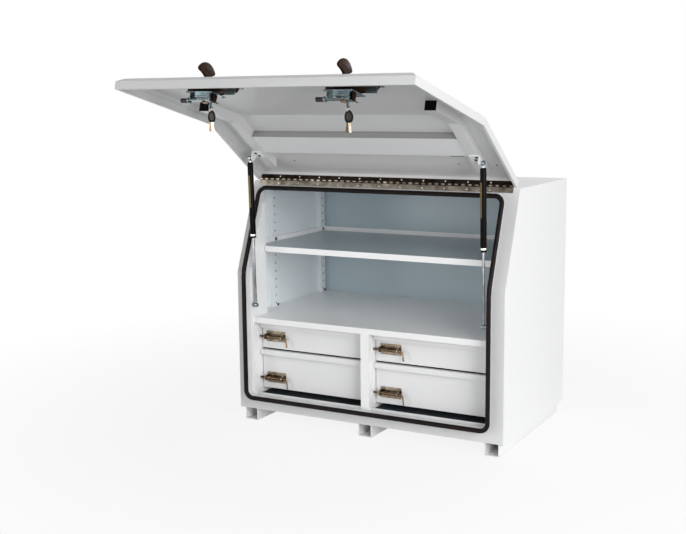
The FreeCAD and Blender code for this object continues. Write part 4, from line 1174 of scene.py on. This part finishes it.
@dataclass
class KeySet:
    """Split ring with two keys, hanging from the latch housing."""

    side: str
    ring_radius: float = 8.0 * MM
    ring_wire: float = 0.605 * MM
    ring_half: float = 0.55 * MM
    hang: float = 5.1 * MM
    half: float = 1.2 * MM
    spread: float = 1.6 * MM
    fan: float = 7.0
    head: Pair = (13.0 * MM, 18.0 * MM)
    head_drop: float = 13.0 * MM
    head_rings: Rows = ((0.66, -0.8), (0.70, -1.0), (0.90, -1.0), (1.0, -0.4), (1.0, 0.4), (0.90, 1.0),
                        (0.70, 1.0), (0.66, 0.8))
    inset_rings: Rows = ((0.62, 0.72), (0.62, 0.86), (0.5, 0.98))
    blade_half: float = 4.5 * MM
    blade_thin: float = 0.72
    blade_top: float = -28.0 * MM
    blade_end: float = -57.0 * MM
    shoulder: float = 4.0 * MM
    point: float = 3.0 * MM
    point_shares: Pair = (0.3, -0.7)
    bites: tuple[float, ...] = (0.62, 0.9, 0.4, 0.75, 0.5, 0.85)
    bite_flat: float = 0.3
    groove: Pair = (-0.5, -0.2)
    groove_end: float = 2.0 * MM
    groove_stand: float = 1.3

    def add_head(self, piece: Piece, eye: Vector) -> None:
        """Adds a moulded head with a raised rim and an inset on both faces, the inset paler as a painted
        highlight.

        Args:
            piece: the key set.
            eye: where the key hangs from the ring.
        """
        middle = eye - Z_AXIS * self.head_drop
        oval = circle(X_AXIS * self.head[0], Z_AXIS * self.head[1], 36)

        def rings(rows: Rows, sign: int) -> list[list[Vector]]:
            """Ovals by their share of the head's size and of its half thickness."""
            return [[middle + Y_AXIS * self.half * sign * out + arm * share for arm in oval]
                    for share, out in rows]

        piece.use(Finish.HEAD)
        piece.loft(rings(self.head_rings, 1))
        # Painted highlight on the insets.
        piece.use(Finish.INSET)
        for sign in (-1, 1):
            piece.loft(rings(self.inset_rings, sign))

    def add_blade(self, piece: Piece, eye: Vector, finish: Finish) -> None:
        """Adds a blade with its groove and cut edge.

        Args:
            piece: the key set.
            eye: where the key hangs from the ring.
            finish: the blade's metal.
        """
        piece.use(finish)
        half, wide, top, end = self.half * self.blade_thin, self.blade_half, self.blade_top, self.blade_end
        first = top - self.shoulder
        pitch = (end + self.point - first) / len(self.bites)
        edge = [(wide, top), (wide, first)]
        for index, bite in enumerate(self.bites):
            start = first + pitch * (index + self.bite_flat)
            edge += [(wide * bite, start), (wide * bite, start + pitch * self.bite_flat)]
        edge += [(wide * share, end) for share in self.point_shares]
        edge += [(-wide, end + self.point), (-wide, top)]
        piece.slab([eye + Vector((x, -half, z)) for x, z in edge], Y_AXIS * 2 * half)
        left, right = (wide * share for share in self.groove)
        foot, stand = end + self.groove_end, half * self.groove_stand
        groove = ((left, top), (right, top), (right, foot), (left, foot))
        piece.slab([eye + Vector((x, -stand, z)) for x, z in groove], Y_AXIS * 2 * stand)

    def build(self) -> None:
        """Builds the ring and its keys."""
        piece = Piece(f"keys_{self.side}_on_ring", Finish.STEEL)
        radius = self.ring_radius
        middle = Vector(JOINTS[f"key_swing_{self.side}"]["pos_m"]) - Z_AXIS * self.hang
        for shift in (-self.ring_half, self.ring_half):
            path = arc(middle + X_AXIS * shift, Y_AXIS * radius, Z_AXIS * radius, 0, 350, 35)
            piece.tube(path, self.ring_wire, 8, closed=True)
        for sign, blade in ((-1, Finish.STEEL), (1, Finish.BRASS)):
            eye = middle + Vector((0, sign * self.spread, -radius))
            before = len(piece.mesh.verts)
            self.add_head(piece, eye)
            self.add_blade(piece, eye, blade)
            piece.mesh.verts.ensure_lookup_table()
            turn = Matrix.Translation(eye) @ Matrix.Rotation(math.radians(sign * self.fan), 4, "Y")
            turn = turn @ Matrix.Translation(-eye)
            bmesh.ops.transform(piece.mesh, matrix=turn, verts=piece.mesh.verts[before:])
        piece.done(f"keys_{self.side}", [f"key_set_{self.side}"], round_under=45.0)


@dataclass
class DrawerBolt:
    """Spring bolt on a drawer front: riveted plate with two lugs, bolt with a bent tail, and its spring."""

    row: str
    side: str
    plate: Triple = (39.0 * MM, 19.0 * MM, 4.0 * MM)
    sheet: float = 2.0 * MM
    lug_places: Pair = (4.0 * MM, 71.0 * MM)
    lug_radius: float = 10.0 * MM
    lug_bore: float = 4.15 * MM
    lug_sheet: float = 3.0 * MM
    rivet: Rows = millimetres((3.4, 0), (3.3, 0.7), (2.4, 1.5), (0, 1.9))
    rivet_places: Rows = millimetres((-21, -14.5), (-21, 14.5), (14, -14.5), (14, 14.5))
    bolt_radius: float = 4.0 * MM
    bolt_full: float = 0.97
    bolt_nose: Rows = ((0.97, 0.0), (0.8, 0.6), (0.45, 1.0))
    bolt_inset: float = 1.0 * MM
    bend: float = 9.0 * MM
    bend_angle: float = 75.0
    elbow_run: float = 2.0 * MM
    tail_radius: float = 2.6 * MM
    tail_start: float = 6.0 * MM
    tail_lean: Triple = (3.0 * MM, -2.0 * MM, 6.6 * MM)
    tail_end: Rows = ((1.0, 0.0), (1.25, 1.2), (0.8, 3.0))
    collar: Rows = millimetres((4, 0), (6.2, 0), (6.8, 0.6), (6.8, 1.9), (6.2, 2.5), (4, 2.5))
    spring_wire: float = 0.7 * MM
    spring_radius: float = 5.6 * MM
    spring_turns: int = 9
    spring_steps: int = 22
    spring_rest: float = 0.08
    spring_ease: float = 0.012

    def __post_init__(self) -> None:
        """Takes the bolt's axis and the spring's two ends from the CAD nodes."""
        self.name = f"{self.row}_{self.side}"
        low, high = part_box(f"drawer_bolt_spring_{self.name}")
        self.axis_y, self.axis_z = (low.y + high.y) / 2, (low.z + high.z) / 2
        self.spring_start, self.spring_end = low.x, high.x

    def on_axis(self, x: float) -> Vector:
        """A point of the bolt's axis."""
        return Vector((x, self.axis_y, self.axis_z))

    def build_frame(self) -> None:
        """Builds the plate, its lugs and rivets."""
        low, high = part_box(f"drawer_bolt_frame_{self.name}")
        piece = Piece(f"bolt_plate_{self.name}", Finish.PLATE)
        middle = Vector((low.x + self.plate[0], high.y, self.axis_z))
        outline = rounded_outline(*self.plate)
        piece.slab([middle + Vector((x, 0, z)) for x, z in outline], -Y_AXIS * self.sheet)
        reach = middle.y - self.sheet - self.axis_y
        radius, bore = self.lug_radius, self.lug_bore
        for place in self.lug_places:
            hub = self.on_axis(low.x + place)
            hole = arc(hub, -Z_AXIS * bore, -Y_AXIS * bore, 0, 180, 14)
            nose = arc(hub, -Z_AXIS * radius, -Y_AXIS * radius, 0, 180, 14)
            piece.slab([*nose, *hole[::-1]], X_AXIS * self.lug_sheet)
            inner = arc(hub, Z_AXIS * bore, Y_AXIS * bore, 0, 180, 14)
            corners = ((0, -radius), (reach, -radius), (reach, radius), (0, radius))
            foot = [hub + Vector((0, y, z)) for y, z in corners]
            piece.slab([*inner[::-1], *foot], X_AXIS * self.lug_sheet)
        for x, z in self.rivet_places:
            piece.turned(self.rivet, middle + Vector((x, -self.sheet, z)), -Y_AXIS, 16)
        piece.done(f"drawer_{self.name}", [f"drawer_bolt_frame_{self.name}"], bevel=0.4 * MM)

    def build_rod(self) -> None:
        """Builds the bolt with its collar and bent tail."""
        low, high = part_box(f"drawer_bolt_rod_{self.name}")
        piece = Piece(f"bolt_{self.name}_with_tail", Finish.GOLD)
        radius, bend, thin = self.bolt_radius, self.bend, self.tail_radius
        corner = high.x - radius
        start, elbow = self.on_axis(low.x + self.bolt_inset), self.on_axis(corner - bend)
        piece.tube([start, self.on_axis(self.spring_start), elbow - X_AXIS * self.elbow_run, elbow],
                   radius * self.bolt_full, 20)
        piece.turned([(radius * share, height * MM) for share, height in self.bolt_nose], start, -X_AXIS, 20)
        path = [elbow - X_AXIS * self.tail_start,
                *arc(elbow - Z_AXIS * bend, Z_AXIS * bend, X_AXIS * bend, 0, self.bend_angle, 8)]
        out, forward, lift = self.tail_lean
        end = Vector((corner + out, self.axis_y + forward, low.z + lift))
        piece.tube([*path, end], thin, 16)
        tip = [(thin * share, height * MM) for share, height in self.tail_end]
        piece.turned(tip, end, end - path[-1], 16)
        piece.turned(self.collar, self.on_axis(self.spring_start - self.collar[-1][1]), X_AXIS, 24)
        piece.done(f"bolt_{self.name}", [f"drawer_bolt_rod_{self.name}"], round_under=55.0)

    def build_spring(self) -> None:
        """Builds the spring as a still coil tied to neither body; the real one stretches as the bolt slides.
        """
        start, end = self.spring_start, self.spring_end
        piece = Piece(f"bolt_coil_{self.name}", Finish.GOLD)
        wire, radius, rest = self.spring_wire, self.spring_radius, self.spring_rest
        count = self.spring_turns * self.spring_steps
        path = []
        for index in range(count + 1):
            share = index / count
            turn = math.tau * share * self.spring_turns
            eased = share
            if not rest < share < 1 - rest:
                eased += self.spring_ease * math.sin((share % (1 - rest)) / rest * math.pi)
            x = start + wire + (end - start - 2 * wire) * min(1.0, max(0.0, eased))
            path.append(self.on_axis(x) + Vector((0, radius * math.cos(turn), radius * math.sin(turn))))
        piece.tube(path, wire, 10)
        coil = piece.done(None, [f"drawer_bolt_spring_{self.name}"], round_under=60.0)
        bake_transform(coil)

    def build(self) -> None:
        """Builds the bolt's pieces."""
        self.build_frame()
        self.build_rod()
        self.build_spring()


@dataclass
class BayMats:
    """Ribbed rubber mats on the floor of the drawer bays."""

    rib: float = 6.0 * MM
    relief: float = 0.9 * MM
    inner: float = 15.5 * MM
    section: Rows = ((0.15, 0.0), (0.5, 0.0), (0.62, 1.0), (0.92, 1.0))

    def build(self) -> None:
        """Builds both mats in one piece."""
        low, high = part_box("bay_mats")
        piece = Piece("ribbed_mats", Finish.MAT)
        count = int((high.y - low.y) / self.rib)
        pitch = (high.y - low.y) / count
        ribs = [(low.y + (index + share) * pitch, high.z - self.relief * sunk)
                for index in range(count) for share, sunk in self.section]
        outline = [(low.y, low.z), (low.y, high.z), *ribs, (high.y, high.z), (high.y, low.z)]
        for start, end in ((low.x, -self.inner), (self.inner, high.x)):
            piece.slab([Vector((start, y, z)) for y, z in outline], X_AXIS * (end - start))
        piece.done("box", ["bay_mats"])


@dataclass
class GapShadowStrips:
    """Dark strips behind the gap between the two drawers of each column, held by the box: painted shadow that
    makes the gap read dark.
    """

    setback: float = 18.0 * MM
    depth: float = 9.0 * MM
    clear: float = 0.4 * MM

    def build(self) -> None:
        """Builds both strips in one piece."""
        piece = Piece("drawer_dust_strips", Finish.PLASTIC)
        for side in SIDES:
            low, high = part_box(f"drawer_tray_lower_{side}")
            bottom, top = high.z + self.clear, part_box(f"drawer_tray_upper_{side}")[0].z - self.clear
            start = low.y + self.setback
            end = start + self.depth
            lips = ((start, bottom), (start, top), (end, top), (end, bottom))
            piece.slab([Vector((low.x, y, z)) for y, z in lips], X_AXIS * (high.x - low.x))
        piece.done("box")


@dataclass
class Fasteners:
    """Hex bolts under the skid flanges and through the shelf's upstands."""

    head: float = 5.6 * MM
    head_seat: float = 1.0 * MM
    chamfer: Pair = (0.86, 0.82)
    washer: Rows = ((1.0, 0.0), (1.0, 0.8), (0.9, 1.1))
    edge: float = 0.25 * MM
    skid_radius: float = 5.0 * MM
    skid_columns: tuple[float, ...] = (-0.491, -0.425, -0.033, 0.033, 0.425, 0.491)
    skid_head: Pair = (4.0 * MM, 6.4 * MM)
    shelf_radius: float = 6.0 * MM
    shelf_seat: float = 0.477
    shelf_head: Pair = (4.5 * MM, 7.2 * MM)
    shelf_shank: Rows = millimetres((3.3, 0), (3.3, 9))

    def hex_bolt(self, piece: Piece, seat: Vector, way: Vector, height: float, washer: float) -> None:
        """Adds a washer and a hex head that stand on a seat.

        Args:
            piece: the piece of the bolts.
            seat: middle of the seat.
            way: the way the head stands out.
            height: the head's height over the seat.
            washer: the washer's radius.
        """
        piece.turned([(washer * share, up * MM) for share, up in self.washer], seat, way, 24)
        narrow, shoulder = self.head * self.chamfer[0], height * self.chamfer[1]
        piece.turned([(self.head, self.head_seat), (self.head, shoulder), (narrow, height)], seat, way, 6)

    def build(self) -> None:
        """Builds all the bolts."""
        skid = Piece("skid_hex_bolts", Finish.ZINC)
        low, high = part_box("skid_bolts")
        for x in self.skid_columns:
            for y in (low.y + self.skid_radius, (low.y + high.y) / 2, high.y - self.skid_radius):
                self.hex_bolt(skid, Vector((x, y, high.z)), -Z_AXIS, *self.skid_head)
        skid.done("box", ["skid_bolts"], bevel=self.edge)

        shelf = Piece("shelf_hex_bolts", Finish.ZINC)
        low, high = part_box("shelf_bolts")
        for y in (low.y + self.shelf_radius, high.y - self.shelf_radius):
            for side in (-1, 1):
                seat = Vector((side * self.shelf_seat, y, (low.z + high.z) / 2))
                self.hex_bolt(shelf, seat, -X_AXIS * side, *self.shelf_head)
                shelf.turned(self.shelf_shank, seat, X_AXIS * side, 16)
        shelf.done("box", ["shelf_bolts"], bevel=self.edge)


@dataclass
class DoorFittings:
    """Small parts on the inside of the door: bracket screws, rivets and a low rubber rest."""

    front: BoxFront
    skin_inside: float = 36.0 * MM
    foot_face: float = 5.0 * MM
    screws: Rows = ((0.398, 0.145), (0.405, 0.160))
    washer: Rows = millimetres((5.2, -0.2), (5.2, 0.5), (4.4, 0.9))
    screw: Rows = millimetres((3.8, 0.6), (3.8, 1.8), (2.6, 2.6))
    rivets: Rows = ((0.307, 0.069), (0.436, 0.068))
    rivet: Rows = millimetres((3.2, -0.2), (3.2, 0.5), (1.6, 1.3))
    rest_place: Pair = (0.320, 0.125)
    rest: Triple = (24.0 * MM, 4.0 * MM, 3.8 * MM)
    rest_height: float = 5.0 * MM
    sink: float = 0.2 * MM

    def build(self) -> None:
        """Builds the fittings of the open door."""
        slope_y, slope_z = self.front.slope
        inwards, up = Vector((0, slope_z, -slope_y)), Vector((0, slope_y, slope_z))
        piece = Piece("door_screws", Finish.PLASTIC)
        for side in (-1, 1):
            for x, down in self.screws:
                seat = self.front.on_slope(side * x, down, self.foot_face)
                piece.use(Finish.ZINC)
                piece.turned(self.washer, seat, inwards, 20)
                piece.use(Finish.PLASTIC)
                piece.turned(self.screw, seat, inwards, 18)
            piece.use(Finish.ZINC)
            for x, down in self.rivets:
                piece.turned(self.rivet, self.front.on_slope(side * x, down, self.skin_inside), inwards, 16)
        piece.use(Finish.MAT)
        seat = self.front.on_slope(*self.rest_place, self.skin_inside) - inwards * self.sink
        piece.slab([seat + X_AXIS * along + up * across for along, across in rounded_outline(*self.rest)],
                   inwards * self.rest_height)
        piece.moved(self.front.opened()).done("door")


@dataclass
class UprightFittings:
    """Dark strips behind the holes of the shelf uprights, painted shadow that makes the holes read dark, and
    the black plugs at their feet.
    """

    face: float = 0.479
    rows: Pair = (-0.080, 0.270)
    low: float = 0.380
    high: float = 0.828
    strip_half: float = 9.0 * MM
    strip_corner: float = 3.0 * MM
    strip_back: float = 2.2 * MM
    strip_sheet: float = 0.5 * MM
    plug: Rows = millimetres((4.2, -0.2), (4.2, 2.2), (2.8, 3.4))
    plug_place: Pair = (9.0 * MM, 1.5 * MM)

    def build(self) -> None:
        """Builds the strips and plugs of all four uprights."""
        strips, plugs = Piece("upright_strips", Finish.MAT), Piece("upright_plugs", Finish.PLASTIC)
        outline = rounded_outline(self.strip_half, (self.high - self.low) / 2, self.strip_corner)
        for side in (-1, 1):
            for y in self.rows:
                middle = Vector((side * (self.face + self.strip_back), y, (self.low + self.high) / 2))
                strips.slab([middle + Vector((0, across, along)) for across, along in outline],
                            X_AXIS * side * self.strip_sheet)
                seat = Vector((side * self.face, y + self.plug_place[0], self.low + self.plug_place[1]))
                plugs.turned(self.plug, seat, -X_AXIS * side, 16)
        strips.done("box")
        plugs.done("box")


@dataclass(frozen=True)
class Lamp:
    """One soft square lamp."""

    name: str
    place: Triple
    size: float
    power: float

    def hang(self, aim: Vector) -> None:
        """Hangs the lamp so that it faces a point.

        Args:
            aim: the point.
        """
        data = bpy.data.lights.new(self.name, "AREA")
        data.shape, data.size, data.energy, data.color = "SQUARE", self.size, self.power, (1, 1, 1)
        lamp = bpy.data.objects.new(self.name, data)
        lamp.location = self.place
        lamp.rotation_euler = (aim - Vector(self.place)).to_track_quat("-Z", "Y").to_euler()
        bpy.context.scene.collection.objects.link(lamp)


@dataclass
class Studio:
    """Pale floor, soft lights and the camera at the photograph's angle."""

    eye: Triple = (1.6922, -3.4890, 1.1440)
    azimuth: float = 28.977
    elevation: float = 8.797
    roll: float = -0.589
    lens: float = 57.93
    sensor: float = 36.0
    aim: Triple = (0.0, -0.1, 0.45)
    lamps: tuple[Lamp, ...] = (
        Lamp("key", (3.0, -2.2, 1.6), 2.0, 75.0), Lamp("side", (3.5, 0.3, 1.5), 2.0, 20.0),
        Lamp("front", (0.0, -4.5, 1.2), 2.0, 13.0), Lamp("low", (2.4, -2.8, 0.7), 1.2, 19.0),
        Lamp("fill", (-2.5, -3.5, 0.9), 1.6, 32.0), Lamp("rear", (0.8, 2.2, 2.6), 2.0, 28.0))
    ambient: float = 0.19
    sky: Colour = (0.95, 0.98, 1.0)
    paint: Colour = (0.78, 0.78, 0.78)
    floor_white: float = 0.86
    floor_fade: Pair = (0.9, 2.2)
    floor_reach: float = 3.0
    floor_drop: float = 0.2 * MM
    floor_rough: float = 0.9
    floor_grain: float = 60.0
    floor_relief: float = 0.2 * MM

    def camera(self) -> None:
        """Sets up the camera."""
        turn, lift, lean = (math.radians(angle) for angle in (self.azimuth, self.elevation, self.roll))
        back = Vector((math.sin(turn) * math.cos(lift), -math.cos(turn) * math.cos(lift), math.sin(lift)))
        right = Vector((math.cos(turn), math.sin(turn), 0))
        up = back.cross(right)
        right, up = right * math.cos(lean) + up * math.sin(lean), up * math.cos(lean) - right * math.sin(lean)
        data = bpy.data.cameras.new("camera")
        data.lens, data.sensor_width, data.clip_end = self.lens, self.sensor, 100.0
        camera = bpy.data.objects.new("camera", data)
        camera.matrix_world = Matrix.Translation(self.eye) @ Matrix((right, up, back)).transposed().to_4x4()
        bpy.context.scene.collection.objects.link(camera)
        bpy.context.scene.camera = camera

    def backdrop(self) -> None:
        """Sets up the world: white to the camera and to gloss, a soft even light to everything else."""
        world = bpy.data.worlds.new("studio")
        bpy.context.scene.world = world
        graph = ShaderGraph(world)
        soft = graph.add("ShaderNodeBackground", {"Color": (*self.sky, 1.0), "Strength": self.ambient})
        white = graph.add("ShaderNodeBackground", {"Color": (1.0, 1.0, 1.0, 1.0)})
        mix = graph.add("ShaderNodeMixShader", {0: graph.seen(), 1: soft.outputs[0], 2: white.outputs[0]})
        graph.add("ShaderNodeOutputWorld", {"Surface": mix.outputs[0]})

    def floor(self) -> None:
        """Lays a pale floor that keeps the box's shadow and fades into the backdrop."""
        graph = ShaderGraph(bpy.data.materials.new("pale_floor"))
        away = graph.add("ShaderNodeVectorMath", {0: graph.place}, operation="LENGTH").outputs["Value"]
        relief = graph.bump(graph.noise(self.floor_grain), self.floor_relief)
        paint = graph.add("ShaderNodeBsdfPrincipled", {
            "Base Color": (*self.paint, 1.0), "Roughness": self.floor_rough, "Normal": relief})
        glow = graph.add("ShaderNodeEmission", {"Color": (1.0, 1.0, 1.0, 1.0), "Strength": 1.0})
        share = graph.spread(graph.seen(), 0.0, self.floor_white, 0.0, 1.0)
        shown = graph.add("ShaderNodeMixShader", {0: share, 1: paint.outputs["BSDF"], 2: glow.outputs[0]})
        clear = graph.add("ShaderNodeBsdfTransparent")
        fade = graph.spread(away, 0.0, 1.0, *self.floor_fade)
        mix = graph.add("ShaderNodeMixShader", {0: fade, 1: shown.outputs[0], 2: clear.outputs[0]})
        graph.add("ShaderNodeOutputMaterial", {"Surface": mix.outputs[0]})
        data = bpy.data.meshes.new("floor")
        reach = self.floor_reach
        data.from_pydata([(-reach, -reach, 0), (reach, -reach, 0), (reach, reach, 0), (-reach, reach, 0)], [],
                         [(0, 1, 2, 3)])
        data.materials.append(graph.owner)
        floor = bpy.data.objects.new("floor", data)
        floor.location.z = -self.floor_drop
        bpy.context.scene.collection.objects.link(floor)

    def build(self) -> None:
        """Sets up the whole studio."""
        bpy.context.scene.view_settings.view_transform = "Standard"
        self.camera()
        for lamp in self.lamps:
            lamp.hang(Vector(self.aim))
        self.backdrop()
        self.floor()


def main() -> None:
    """Builds and dresses the box, piece by piece."""
    logging.basicConfig(level=logging.INFO, format="%(message)s")
    front = BoxFront()
    Studio().build()
    SheetMetal().dress()
    Hardware().dress()
    DoorSeal(front).build()
    PianoHinge(front).build()
    LatchPair(front).build()
    DoorFittings(front).build()
    UprightFittings().build()
    BayMats().build()
    GapShadowStrips().build()
    Fasteners().build()
    for side in SIDES:
        GasStrut(side).build()
        KeySet(side).build()
        for row in ("upper", "lower"):
            DrawerBolt(row, side).build()


if __name__ == "__main__":
    main()
